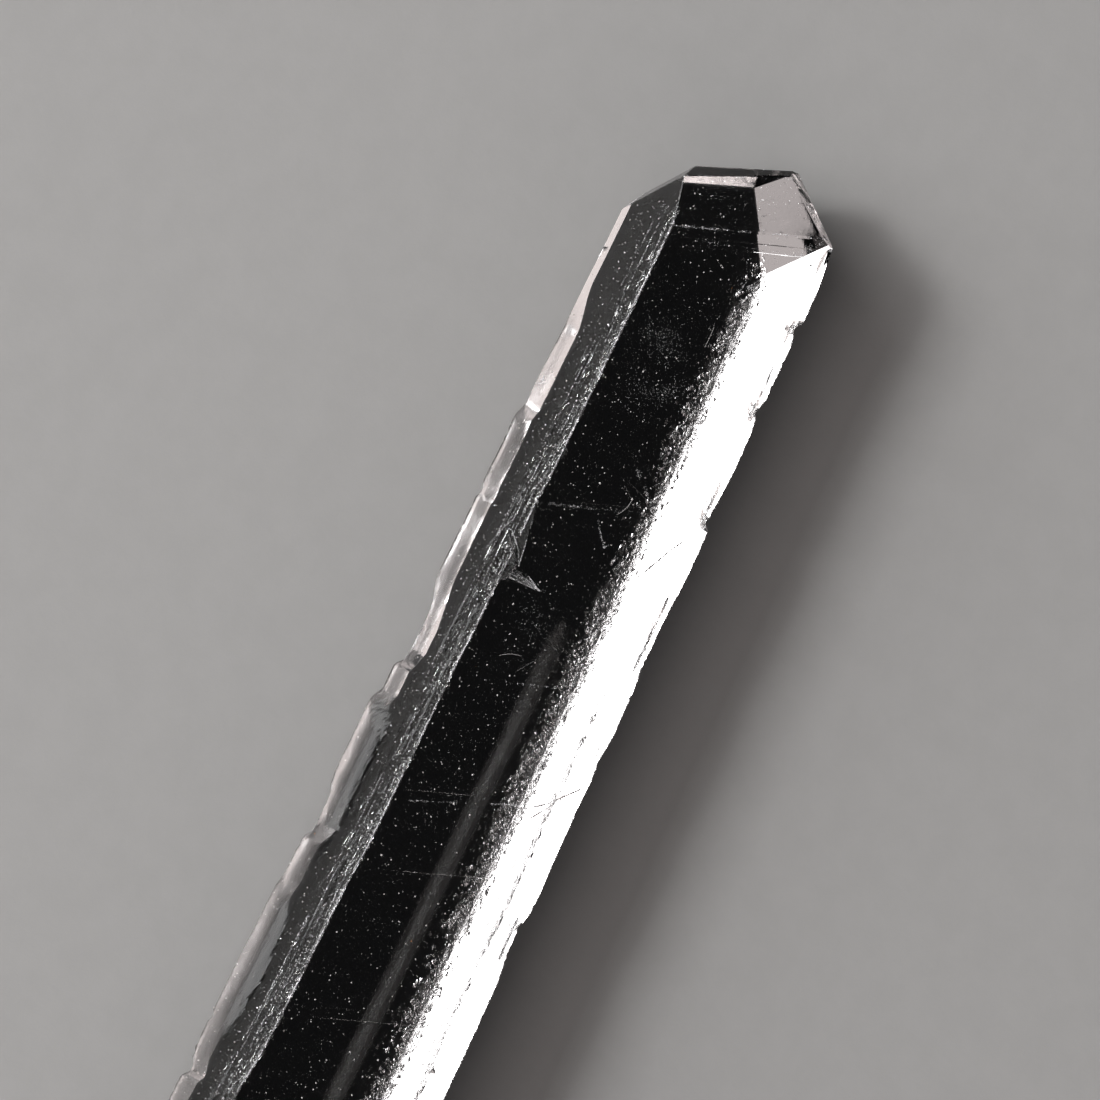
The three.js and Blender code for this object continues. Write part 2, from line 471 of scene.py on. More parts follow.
    def left_wall(self, x: Array, z: Array) -> Array:
        """Work out the left side with its terraces and the bites in its rim.

        Args:
            x: Distances behind the tip.
            z: Heights above the back face.

        Returns:
            Where the side lies across the crystal.
        """
        wall = self.left(x) - self.lean(z)
        rise = self.slant * (z - self.rim(x)[0]) / self.thickness
        for number, layer in enumerate(self.terraces):
            rim = np.interp(x, (layer.start, self.terrace_end), (layer.reach, layer.base_reach))
            uneven = self.uneven.along(x / self.terrace_uneven_length, 9.3 * number, 3) - 0.5
            start = layer.start + self.terrace_front * z
            there = ramp(x, start - self.terrace_lead, start + layer.run_in - self.terrace_lead)
            top = layer.top + self.terrace_uneven * uneven
            there = there * ramp(z, top, top - self.terrace_fade)
            wall = wall + (np.minimum(wall, rise - rim) - wall) * there
        for bite in self.bites:
            reach = np.interp(x, *zip(*bite), left=9.0, right=9.0)
            above = np.maximum(z - self.bite_top, 0.0) * self.bite_closes
            wall = soft_max(wall, rise * self.bite_lean - reach - above, self.bite_round)
        return wall

    def right_wall(self, x: Array, z: Array) -> Array:
        """Work out the right side with its long ledge.

        Args:
            x: Distances behind the tip.
            z: Heights above the back face.

        Returns:
            Where the side lies across the crystal.
        """
        depth = np.interp(x, *zip(*self.setback))
        ledge_top, ledge_foot = self.setback_ledge
        under = ramp(z, self.setback_top + ledge_top, self.setback_top + ledge_foot)
        crinkled = ramp(z, *self.crinkled)
        edge = self.right_flat(x) + (self.right(x) - self.right_flat(x)) * crinkled
        return edge - self.lean(z) - depth * (0.5 + 0.5 * z / self.setback_top) * under

    def back_height(self, x: Array, y: Array) -> Array:
        """Work out the back face with its one low, soft step.

        Args:
            x: Distances behind the tip.
            y: Places across the crystal.

        Returns:
            The back face's height.
        """
        start, full = self.back_step_run_in
        line = self.back_step_line
        return (
            self.back_step_depth
            * ramp(x, self.back_step_from + start, self.back_step_from + full)
            * ramp(y, line, line + self.back_step_riser)
        )


class Face(Enum):
    """The long faces, in their order around the crystal from the front left edge."""

    LEFT = 0
    RIM = 1
    BACK = 2
    RIGHT = 3
    FRONT = 4


@dataclass(frozen=True)
class Row:
    """One line of points along the crystal.

    place is a height on the two sides and a share of the width on the other faces. inset is added
    across the crystal, in millimetres. Each level doubles the number of points along the row.
    """

    face: Face
    place: float
    inset: float = 0.0
    level: int = 0


@dataclass
class Skin:
    """The points of the crystal's surface, with the values that its relief is worked out from."""

    points: Array
    inward: Array
    face: Array
    girth: Array  # distance around the crystal from the front left edge
    back_right: Array  # where along the girth the back right edge lies
    front_right: Array  # where along the girth the front right edge lies
    total: Array  # the whole girth
    fine: Array  # the level of each point's row

    @property
    def x(self) -> Array:
        """Return the distances behind the tip."""
        return self.points[:, 0]

    def past_back_right(self) -> Array:
        """Return the distances past the back right edge: negative on the back, positive on the right."""
        return self.girth - self.back_right

    def past_front_right(self) -> Array:
        """Return the distances past the front right edge: negative on the right, positive in front."""
        return self.girth - self.front_right

    def from_front_left(self) -> Array:
        """Return the distances from the front left edge, on either side of it."""
        return np.minimum(self.girth, self.total - self.girth)

    def sink(self, depth: Array) -> None:
        """Move every point into the crystal by its own depth."""
        self.points += self.inward * np.maximum(depth, 0.0)[:, None]


@dataclass(frozen=True)
class Prism:
    """The long body as rows of points around the growth form, closer together where it is worn."""

    form: GrowthForm = GrowthForm()
    first: float = -0.15
    last: float = 40.6
    cells: int = 240
    shake: float = 0.6  # how far a point may leave its place along the row, as a share of the gap
    normal_blur: float = 0.045
    rim_rows_below: float = 1.2  # the height below which the left rows move with the rim
    back_left_margin: float = 0.15
    back_right_margin: float = 1.84

    def rows(self) -> list[Row]:
        """Lay out the rows around the crystal, close together where it is worn.

        Returns:
            The rows in order, from the front left edge over the left side, rim, back, right and front.
        """
        top, rim = self.form.thickness, self.form.rim_height
        bands = (
            (Face.LEFT, 2, top - np.array((0.0, 0.018, 0.04, 0.07, 0.105)), 0.0),
            (Face.LEFT, 2, top - np.arange(0.13, 0.44, 0.024), 0.0),
            (Face.LEFT, 1, top - np.arange(0.46, 0.9, 0.026), 0.0),
            (Face.LEFT, 0, top - np.arange(0.93, 1.48, 0.03), 0.0),
            (Face.LEFT, 0, np.arange(1.62, rim + 0.04, -0.08), 0.0),
            (Face.LEFT, 1, rim, 0.0),
            (Face.RIM, 1, (0.12, 0.3, 0.5, 0.72), 0.0),
            (Face.BACK, 1, 0.0, 0.0),
            (Face.BACK, 0, 0.0, self.back_left_margin),
            (Face.BACK, 0, np.linspace(0.12, 0.97, 7), 0.0),
            (Face.BACK, 0, 1.0, -np.arange(1.78, 0.8, -0.06)),
            (Face.BACK, 2, 1.0, -np.arange(0.74, -0.001, -0.0352)),
            (Face.RIGHT, 2, np.arange(0.075, 0.34, 0.035), 0.0),
            (Face.RIGHT, 1, (0.42, 0.62, 0.9, 1.2, 1.36), 0.0),
            (Face.RIGHT, 1, np.arange(1.46, 1.96, 0.05), 0.0),
            (Face.RIGHT, 1, (2.1, 2.3, 2.6), 0.0),
            (Face.RIGHT, 2, top - np.array((0.42, 0.34, 0.27, 0.2, 0.14, 0.09, 0.05, 0.02)), 0.0),
            (Face.FRONT, 2, 1.0, -np.array((0.0, 0.02, 0.06, 0.12, 0.2))),
            (Face.FRONT, 0, np.linspace(0.92, 0.1, 12), 0.0),
            (Face.FRONT, 2, 0.0, (0.13, 0.075, 0.04, 0.018)),
        )
        return [
            Row(face, place, inset, level)
            for face, level, places, insets in bands
            for place, inset in np.broadcast(places, insets)
        ]

    def place(self, row: Row, x: Array) -> Array:
        """Put one row on the growth form.

        Args:
            row: The row.
            x: The distances of its points behind the tip.

        Returns:
            For each point its place, its girth, and the girths of the two right edges and of the whole.
        """
        form, flat = self.form, np.full_like(x, row.place)
        rim_height, rim_width = form.rim(x)
        rim_y = form.left_wall(x, rim_height)
        rim_girth, rim_span = (form.thickness - rim_height) * form.steep, np.hypot(rim_height, rim_width)
        left, right = rim_y + rim_width, form.right_flat(x) - form.slant
        back_right = rim_girth + rim_span + (right - left)
        front_right = back_right + form.thickness * form.steep
        total = front_right + form.right(x) - form.left(x)
        if row.face is Face.LEFT:
            flat = flat - (form.rim_height - rim_height) * ramp(flat, self.rim_rows_below, form.rim_height)
            placed = form.left_wall(x, flat), flat, (form.thickness - flat) * form.steep
        elif row.face is Face.RIM:
            placed = rim_y + rim_width * flat, rim_height * (1 - flat), rim_girth + rim_span * flat
        elif row.face is Face.BACK:
            if 0 < row.place < 1:
                y = within((left + self.back_left_margin, right - self.back_right_margin), row.place)
            else:
                y = within((left, right), row.place) + row.inset
            height = form.back_height(x, y)
            y = y + form.slant * height / form.thickness * (row.place == 1.0)
            placed = y, height, rim_girth + rim_span + (y - left)
        elif row.face is Face.RIGHT:
            placed = form.right_wall(x, flat), flat, back_right + flat * form.steep
        else:
            y = within((form.left(x), form.right(x)), row.place) + row.inset
            placed = y, np.full_like(x, form.thickness), front_right + (form.right(x) - y)
        return np.stack([x, *placed, back_right, front_right, total], axis=1)

    def inward(self, rows: list[Row], middle: Array, around: float) -> Array:
        """Work out which way is inward at each row, softened over the edges.

        Args:
            rows: The rows.
            middle: Each row's distance around the crystal.
            around: The whole distance around it.

        Returns:
            A unit direction for each row.
        """
        form = self.form
        normals = {
            Face.LEFT: (0, -form.thickness, form.slant),
            Face.RIM: (0, -form.rim_height, -form.rim_width),
            Face.BACK: (0, 0, -1),
            Face.RIGHT: (0, form.thickness, -form.slant),
            Face.FRONT: (0, 0, 1),
        }
        outward = np.array([normals[row.face] for row in rows], dtype=float)
        outward /= np.linalg.norm(outward, axis=1)[:, None]
        gap = np.abs(middle[:, None] - middle[None, :])
        gap = np.minimum(gap, around - gap)
        width = np.gradient(np.append(middle, around))[:-1]
        blurred = (np.exp(-((gap / self.normal_blur) ** 2) / 2) * width[None, :]) @ outward
        return -blurred / np.linalg.norm(blurred, axis=1)[:, None]

    def skin(self, seed: int) -> tuple[Skin, list[Array]]:
        """Place every point, and note which points each row holds.

        Args:
            seed: Picks how the points are shaken along their rows.

        Returns:
            The surface, and the index numbers of each row's points.
        """
        random, rows, parts = np.random.default_rng(seed), self.rows(), []
        for row in rows:
            x = np.linspace(self.first, self.last, self.cells * 2**row.level + 1)
            shake = (random.random(len(x)) - 0.5) * self.shake * (x[1] - x[0])
            shake[[0, -1]] = 0.0
            parts.append(self.place(row, x + shake))
        values, sizes = np.concatenate(parts), [len(part) for part in parts]
        girth, total = 3, 6
        middle = np.array([np.median(part[:, girth]) for part in parts])
        inward = np.repeat(self.inward(rows, middle, float(np.median(values[:, total]))), sizes, axis=0)
        face, level = (np.repeat(part, sizes) for part in zip(*((row.face.value, row.level) for row in rows)))
        skin = Skin(values[:, :3].copy(), inward, face, *values[:, 3:].T.copy(), level)
        return skin, np.split(np.arange(len(values)), np.cumsum(sizes)[:-1])

    def faces(self, numbers: list[Array]) -> Array:
        """Join the rows by triangles, also where one has more points than the next.

        Args:
            numbers: The index numbers of each row's points.

        Returns:
            The triangles, one row each, without the two ends.
        """
        found = []
        for index, row in enumerate(numbers):
            other = numbers[(index + 1) % len(numbers)]
            flip = len(row) > len(other)
            coarse, fine = (other, row) if flip else (row, other)
            per_cell = (len(fine) - 1) // (len(coarse) - 1)
            half = per_cell // 2 if per_cell > 1 else 0
            start, end = coarse[:-1], coarse[1:]
            triangles = []
            for part in range(per_cell):
                a, b = fine[part:-1:per_cell], fine[part + 1 :: per_cell]
                owner = start if part < half or per_cell == 1 else end
                triangles.append(np.stack([owner, b, a], axis=1))
            split = fine[max(half, 1 if per_cell == 1 else half) :: per_cell][: len(start)]
            triangles.append(np.stack([start, end, split], axis=1))
            block = np.concatenate(triangles)
            found.append(block[:, ::-1] if flip else block)
        return np.concatenate(found)

    def solid(self, skin: Skin, numbers: list[Array]) -> Object:
        """Close the ends and make the object.

        Args:
            skin: The surface with its relief.
            numbers: The index numbers of each row's points.

        Returns:
            The closed body, still in its growth frame.
        """
        faces = self.faces(numbers)
        points, caps = [skin.points], []
        count = len(skin.points)
        for place, turn in ((0, 1), (-1, -1)):
            ring = np.array([row[place] for row in numbers])
            points.append(skin.points[ring].mean(axis=0)[None, :])
            caps.append(np.stack([ring, np.roll(ring, -1), np.full(len(ring), count)], axis=1)[:, ::turn])
            count += 1
        faces = np.concatenate([faces, *caps])
        points = np.concatenate(points)
        a, b, c = (points[faces[:, i]] for i in range(3))
        if np.einsum("ij,ij->", a, np.cross(b, c)) < 0:
            faces = faces[:, ::-1]
        return mesh_object("crystal_body", points, faces.tolist())


# ---------------------------------------------------------------- growth lines and wear


def scoop(skin: Skin, centre: Sequence[float], half: Sequence[float], turn: Matrix | None = None) -> None:
    """Push the points inside an ellipsoid onto its far side, which leaves a shell-shaped hollow.

    Args:
        skin: The surface, changed in place.
        centre: The middle of the ellipsoid.
        half: Its three half-sizes.
        turn: How it is turned, where it isn't straight.
    """
    middle, size = np.array(centre, dtype=float), np.array(half, dtype=float)
    near = np.abs(skin.points - middle).max(axis=1) < size.max()
    chosen = np.nonzero(near)[0]
    if not len(chosen):
        return
    basis = np.array(turn) if turn is not None else np.eye(3)
    local = (skin.points[chosen] - middle) @ basis / size
    way = skin.inward[chosen] @ basis / size
    a = np.einsum("ij,ij->i", way, way)
    b = np.einsum("ij,ij->i", local, way)
    c = np.einsum("ij,ij->i", local, local) - 1
    inside = c < 0
    travel = (-b[inside] + np.sqrt(b[inside] ** 2 - a[inside] * c[inside])) / a[inside]
    skin.points[chosen[inside]] += skin.inward[chosen[inside]] * travel[:, None]


@dataclass(frozen=True)
class GrowthRidges:
    """Long, low ribs and fine steps that run along the upper part of the left side."""

    ribs: int = 26
    rib_heights: Span = (1.85, 3.08)
    rib_width: float = 0.11
    rib_proud: float = 0.018
    rib_run: Span = (4.2, 36.6)
    rib_lengths: Span = (2.5, 9.0)
    steps: int = 420
    step_reach: float = 1.7
    step_half_widths: Span = (0.012, 0.03)
    step_lengths: Span = (0.2, 3.2)
    step_run: Span = (2.6, 39.5)
    step_deepest: float = 0.014
    step_drift: float = 0.004
    strands: int = 15
    strand_reach: float = 0.56
    strand_half_width: float = 0.026
    strand_sway: float = 0.02
    strand_deepest: float = 0.014
    etch_deepest: float = 0.013
    etch_fades: Span = (1.5, 0.1)
    clear_edge: float = 0.012
    broken: Span = (0.42, 0.62)
    seed: int = 11

    def carve(self, skin: Skin, form: GrowthForm) -> None:
        """Raise the ribs, and sink the steps, the broken strands and the etching.

        Args:
            skin: The surface, changed in place.
            form: The crystal's sizes.
        """
        chosen = np.nonzero((skin.face == Face.LEFT.value) & (skin.girth > self.clear_edge))[0]
        x, girth = skin.x[chosen], skin.girth[chosen]
        random, grain = np.random.default_rng(self.seed), Grain(self.seed + 1)
        depth = np.zeros(len(chosen))
        first, last = self.rib_run
        for i in range(self.ribs):
            z = within(self.rib_heights, spread(i, 0.2))
            length = within(self.rib_lengths, spread(i * 3, 0.5))
            start = first + (last - first - length) * spread(i * 5, 0.1)
            across = np.abs(girth - (form.thickness - z) * form.steep) / (self.rib_width / 2)
            depth -= self.rib_proud * swell(x, start, length, 0.15) * np.clip(1.3 - across, 0.0, 1.0)
        for _ in range(self.steps):
            middle = 0.02 + self.step_reach * random.random() ** 1.7
            half_width = random.uniform(*self.step_half_widths)
            length = random.uniform(*self.step_lengths)
            start = random.uniform(*self.step_run) - length * 0.3
            deep = self.step_deepest * random.uniform(0.2, 1.0) ** 1.5
            drift = random.uniform(-self.step_drift, self.step_drift)
            offset = (girth - middle - drift * (x - start)) / half_width
            riser = np.where(np.abs(offset) < 1, 0.5 + 0.5 * offset, 0.0)
            depth += deep * swell(x, start, length, 0.2) * riser
        for strand in range(self.strands):
            middle = 0.015 + self.strand_reach * spread(strand, 0.1) ** 1.4
            sway = self.strand_sway * (grain.along(x / 4.0, strand * 3.7) - 0.5)
            narrow = ramp(np.abs(girth - middle - sway), self.strand_half_width, 0.0)
            broken = ramp(grain.along(x / 0.9, strand * 7.1 + 2.0, 3), *self.broken)
            depth += self.strand_deepest * random.random(len(x)) ** 1.6 * broken * narrow
        etched = ramp(grain.layered(x / 1.4, girth / 0.06 + 11.0, 2), *self.broken)
        etched = etched * ramp(girth, *self.etch_fades)
        depth += self.etch_deepest * etched * random.random(len(x)) ** 2
        skin.points[chosen] += skin.inward[chosen] * depth[:, None]


@dataclass(frozen=True)
class SidePits:
    """Short etch pits, all one way, on the left side beside the front left edge."""

    count: int = 1100
    reach: float = 1.3
    crowding: float = 2.4
    run: Span = (2.6, 40.0)
    half_lengths: Span = (0.04, 0.16)
    half_widths: Span = (0.012, 0.03)
    seed: int = 19

    def carve(self, skin: Skin, form: GrowthForm) -> None:
        """Scoop the pits.

        Args:
            skin: The surface, changed in place.
            form: The crystal's sizes.
        """
        random = np.random.default_rng(self.seed)
        slope = form.slant / form.thickness
        for _ in range(self.count):
            at = random.uniform(*self.run)
            down = 0.01 + self.reach * random.random() ** self.crowding
            y = float(form.left(at)) - down * slope
            half = [random.uniform(*span) for span in (self.half_lengths, self.half_widths, self.half_widths)]
            scoop(skin, (at, y, form.thickness - down), half)


@dataclass(frozen=True)
class EdgeWear:
    """Small crumbs and flats along an edge, deeper in some stretches than in others.

    The edge keeps only the whole_share of its wear until whole_until, and is fully worn from worn_from.
    """

    reach: float
    least: float
    most: float
    cell: float
    seed: int
    whole_until: float = 2.8
    worn_from: float = 5.5
    whole_share: float = 0.25

    def carve(self, skin: Skin, distance: Array) -> None:
        """Sink the points near the edge.

        Args:
            skin: The surface, changed in place.
            distance: Each point's distance from the edge.
        """
        grain = Grain(self.seed)
        coarse = grain.along(skin.x / (self.cell * 6), 0.0, 2)
        fine = grain.along(skin.x / self.cell, 40.5, 3)
        depth = self.least + self.most * (coarse * fine * 2) ** 2.0
        share = within((self.whole_share, 1), ramp(skin.x, self.whole_until, self.worn_from))
        skin.sink(depth * share * ramp(distance, self.reach, 0.0))


@dataclass(frozen=True)
class BruisedEdge:
    """The back right edge, bruised to a feathery band of small pits, crumbs and slanting hairs."""

    widths: Span = (0.2, 0.68)
    over_side: float = 0.2
    crumb: float = 0.038
    hair: float = 0.03
    hair_slant: float = 0.55
    hair_width: float = 0.055
    stray_pit: float = 0.02
    scars: int = 24
    scar_run: Span = (5.4, 37.5)
    scar_sizes: Span = (0.14, 0.3)
    scar_shape: Triple = (1.3, 0.8, 0.7)
    pits: int = 620
    pit_run: Span = (3.0, 40.0)
    pit_reach: Span = (0.08, -0.62)
    pit_half_lengths: Span = (0.05, 0.24)
    pit_half_widths: Span = (0.02, 0.06)
    pit_depths: Span = (0.02, 0.07)
    pit_tilts: Span = (-0.3, 0.3)
    pit_turns: Span = (-0.75, -0.15)
    seed: int = 23

    def mask(self, x: Array, past: Array) -> Array:
        """Work out how badly the surface is bruised.

        Args:
            x: Distances behind the tip.
            past: Distances past the edge, negative on the back face.

        Returns:
            From 0, whole, to 1, crushed.
        """
        grain = Grain(self.seed)
        slanted = x + past * 1.4
        width = within(self.widths, ramp(grain.along(slanted / 1.6, 0.0, 3), 0.25, 0.75))
        width = width * ramp(x, 2.2, 5.5) + 0.06 * ramp(x, 1.8, 3.0) + 1e-4
        inner = 1 - np.clip(-past / width, 0.0, 1.0)
        outer = 1 - np.clip(past / self.over_side, 0.0, 1.0)
        tongues = grain.layered(x / 0.16 - past / 0.3, past / 0.12 + 90.0, 2)
        whole = np.where(past < 0, inner, outer)
        return ramp(whole + 0.9 * (tongues - 0.5), 0.28, 0.75) * ramp(x, 1.6, 3.2)

    def carve(self, skin: Skin, form: GrowthForm) -> None:
        """Sink the scars, pits, crumbs and hairs.

        Args:
            skin: The surface, changed in place.
            form: The crystal's sizes.
        """
        random = np.random.default_rng(self.seed)
        past = skin.past_back_right()
        near = (skin.face == Face.BACK.value) | (skin.face == Face.RIGHT.value)
        near &= (past > -0.95) & (past < 0.5) & (skin.fine == 2)
        chosen = np.nonzero(near)[0]
        x, past = skin.x[chosen], past[chosen]
        mask = self.mask(x, past)
        grain = Grain(self.seed + 1)
        hairs = grain.smooth((x * self.hair_slant + past) / self.hair_width, (x - past) / 0.7)
        crumbs = random.random(len(chosen))
        depth = mask * (self.crumb * crumbs**1.5 + self.hair * ramp(hairs, 0.45, 0.75))
        stray = (random.random(len(chosen)) > 0.965) * ramp(past, -0.9, -0.2)
        depth += self.stray_pit * stray
        skin.points[chosen] += skin.inward[chosen] * depth[:, None]
        for i in range(self.scars):
            at = within(self.scar_run, (i + 0.6 * spread(i * 2)) / self.scars)
            size = within(self.scar_sizes, spread(i * 3))
            y = float(form.right_flat(at)) - form.slant + size * 0.25
            scoop(skin, (at, y, -0.2 * size), [part * size for part in self.scar_shape])
        nearest, farthest = self.pit_reach
        for _ in range(self.pits):
            at = random.uniform(*self.pit_run)
            length = random.uniform(*self.pit_half_lengths) * random.uniform(0.5, 1.0)
            deep = random.uniform(*self.pit_depths)
            away = farthest * random.random() ** 2 + nearest
            y = float(form.right_flat(at)) - form.slant + away
            turn = Euler((random.uniform(*self.pit_tilts), 0.0, random.uniform(*self.pit_turns))).to_matrix()
            half = (length, random.uniform(*self.pit_half_widths), deep)
            scoop(skin, (at, y, float(form.back_height(at, y)) - deep * 0.25), half, turn)


@dataclass(frozen=True)
class ChippedEdge:
    """A row of small shell-shaped chips along an edge."""

    count: int
    sizes: Span
    stretch: float
    seed: int
    named: Line = ()  # larger chips: [distance behind the tip, half-size]
    start: float = 4.2
    end: float = 40.0
    flatness: Span = (0.5, 0.9)
    turns: Triple = (0.5, 0.4, 0.4)

    def carve(self, skin: Skin, edge: Callable[[float], tuple[float, float]]) -> None:
        """Scoop the chips.

        Args:
            skin: The surface, changed in place.
            edge: Gives where the edge lies, across and up, at a distance behind the tip.
        """
        random = np.random.default_rng(self.seed)
        chips = [(random.uniform(self.start, self.end), None) for _ in range(self.count)]
        for at, size in [*chips, *self.named]:
            if size is None:
                size = within(self.sizes, random.random() ** 2.5)
            y, z = edge(at)
            shift = random.uniform(-0.4, 0.4) * size
            turn = Euler([random.uniform(-most, most) for most in self.turns])
            half = (size * self.stretch, *(size * random.uniform(*self.flatness) for _ in range(2)))
            scoop(skin, (at, y + shift, z + shift * 0.5), half, turn.to_matrix())


@dataclass(frozen=True)
class SideLedge:
    """Broken bits along the ledge halfway up the right side, thicker in some stretches."""

    run: Span = (16.6, 38.5)
    height: float = 1.7
    sway: float = 0.14
    reach: float = 0.2
    frost: float = 0.2
    bits: int = 400
    scatter: float = 0.06
    depths: Span = (0.015, 0.045)
    half_lengths: Span = (0.1, 0.26)
    half_heights: Span = (0.05, 0.09)
    turns: Span = (-0.15, 0.15)
    seed: int = 37

    def line(self, x: Array) -> Array:
        """Return the ledge's height at each distance behind the tip."""
        return self.height + self.sway * (Grain(self.seed).along(x / 2.6, 0.0) - 0.5)

    def mask(self, form: GrowthForm, points: Array) -> Array:
        """Work out how crushed the ledge is.

        Args:
            form: The crystal's sizes.
            points: The places asked about, in the growth frame.

        Returns:
            From 0, whole, to 1, crushed.
        """
        x, y, z = points.T
        crushed = ramp(np.abs(z - self.line(x)), self.reach, 0.4 * self.reach)
        crushed *= ramp(Grain(self.seed + 1).layered(x / 0.7, z / 0.3, 3), 0.3, 0.5)
        return crushed * ramp(x, 16.5, 21.0) * ramp(form.right_wall(x, z) - y, 0.08, 0.05)

    def carve(self, skin: Skin, form: GrowthForm) -> None:
        """Scoop the broken bits.

        Args:
            skin: The surface, changed in place.
            form: The crystal's sizes.
        """
        random, grain = np.random.default_rng(self.seed), Grain(self.seed + 1)
        places = within(self.run, random.random(self.bits) ** 0.8)
        places = thinned(places, grain.along(places / 0.9, 6.5, 3), (0.36, 0.6), random)
        for at, z in zip(places, self.line(places)):
            z = z + random.normal(0.0, self.scatter)
            deep = random.uniform(*self.depths)
            y = float(form.right_wall(at, z)) + 0.45 * deep
            turn = Euler((0.0, 0.0, random.uniform(*self.turns))).to_matrix()
            half = (random.uniform(*self.half_lengths), deep, random.uniform(*self.half_heights))
            scoop(skin, (at, y, z), half, turn)


# ---------------------------------------------------------------- cut facets, breaks and grooves


def corners_within(planes: Array) -> Array:
    """Find the corners of the convex solid on the inner side of every plane.

    Args:
        planes: Unit normals and distances from the origin, one row each.

    Returns:
        Each corner's place, with the three planes that meet there, one row each.
    """
    found = []
    count = len(planes)
    for i in range(count):
        for j in range(i + 1, count):
            for k in range(j + 1, count):
                three = planes[[i, j, k]]
                if abs(np.linalg.det(three[:, :3])) < 1e-5:
                    continue
                corner = np.linalg.solve(three[:, :3], three[:, 3])
                if np.all(planes[:, :3] @ corner - planes[:, 3] < 1e-7):
                    found.append([*corner, i, j, k])
    return np.array(found)


@dataclass(frozen=True)
class Termination:
    """The flat facets of the tip, with the fine flats that soften their edges, and the base's corner."""

    facets: tuple[Facet, ...] = (
        Facet((-0.35, -0.133, 0.928), (3.132, -0.945, 3.15)),
        Facet((-0.742, -0.332, 0.582), (1.584, -1.287, 2.517)),
        Facet((-0.751, 0.325, 0.575), (0.276, 1.683, 2.448)),
        Facet((-0.489, -0.862, 0.135), (1.59, -1.29, 2.52)),
        Facet((-0.8578, -0.3431, -0.3827), (0.681, 0.0, 2.1)),
        Facet((-0.432, 0.696, -0.574), (1.845, 3.87, 3.15)),
    )
    base_corner: Facet = Facet((0.62, -0.72, -0.32), (38.7, -2.7, 0.9))
    softening: float = 0.009
    room: float = 6.0

    def edge_flats(self, form: GrowthForm) -> list[Array]:
        """Work out a narrow flat along each edge of the tip.

        Args:
            form: The crystal's sizes.

        Returns:
            The flats' planes.
        """
        top, slant = form.thickness, form.slant
        right_slope = float(form.right(3.2) - form.right(1.8)) / 1.4
        sides = [
            Facet((0, 0, 1), (0, 0, top)),
            Facet((0, 0, -1), (0, 0, 0)),
            Facet((0, -top, slant), (3, float(form.left(3)), top)),
            Facet((-right_slope * top, top, -slant), (3.2, float(form.right(3.2)), top)),
            Facet((1, 0, 0), (9, 0, 0)),
        ]
        planes = np.array([facet.plane() for facet in [*self.facets, *sides]])
        corners = corners_within(planes)
        flats = []
        for i in range(len(self.facets)):
            for j in range(i + 1, len(planes) - 1):
                on_both = [c[:3] for c in corners if {i, j} <= set(c[3:].astype(int))]
                if len(on_both) < 2:
                    continue
                normal = planes[i, :3] + planes[j, :3]
                normal /= np.linalg.norm(normal)
                offset = min(normal @ corner for corner in on_both) - self.softening
                flats.append(np.append(normal, offset))
        return flats

    def solid(self, form: GrowthForm) -> Object:
        """Make the convex solid that the body is kept inside.

        Args:
            form: The crystal's sizes.

        Returns:
            The tool.
        """
        far, side = form.length + self.room, self.room + form.thickness
        box = [
            Facet((1, 0, 0), (far, 0, 0)), Facet((0, 1, 0), (0, side, 0)), Facet((0, -1, 0), (0, -side, 0)),
            Facet((0, 0, 1), (0, 0, side)), Facet((0, 0, -1), (0, 0, -side)),
        ]
        facets = [facet.plane() for facet in [*self.facets, self.base_corner, *box]]
        planes = np.array(facets + self.edge_flats(form))
        return convex_object("termination", corners_within(planes)[:, :3])


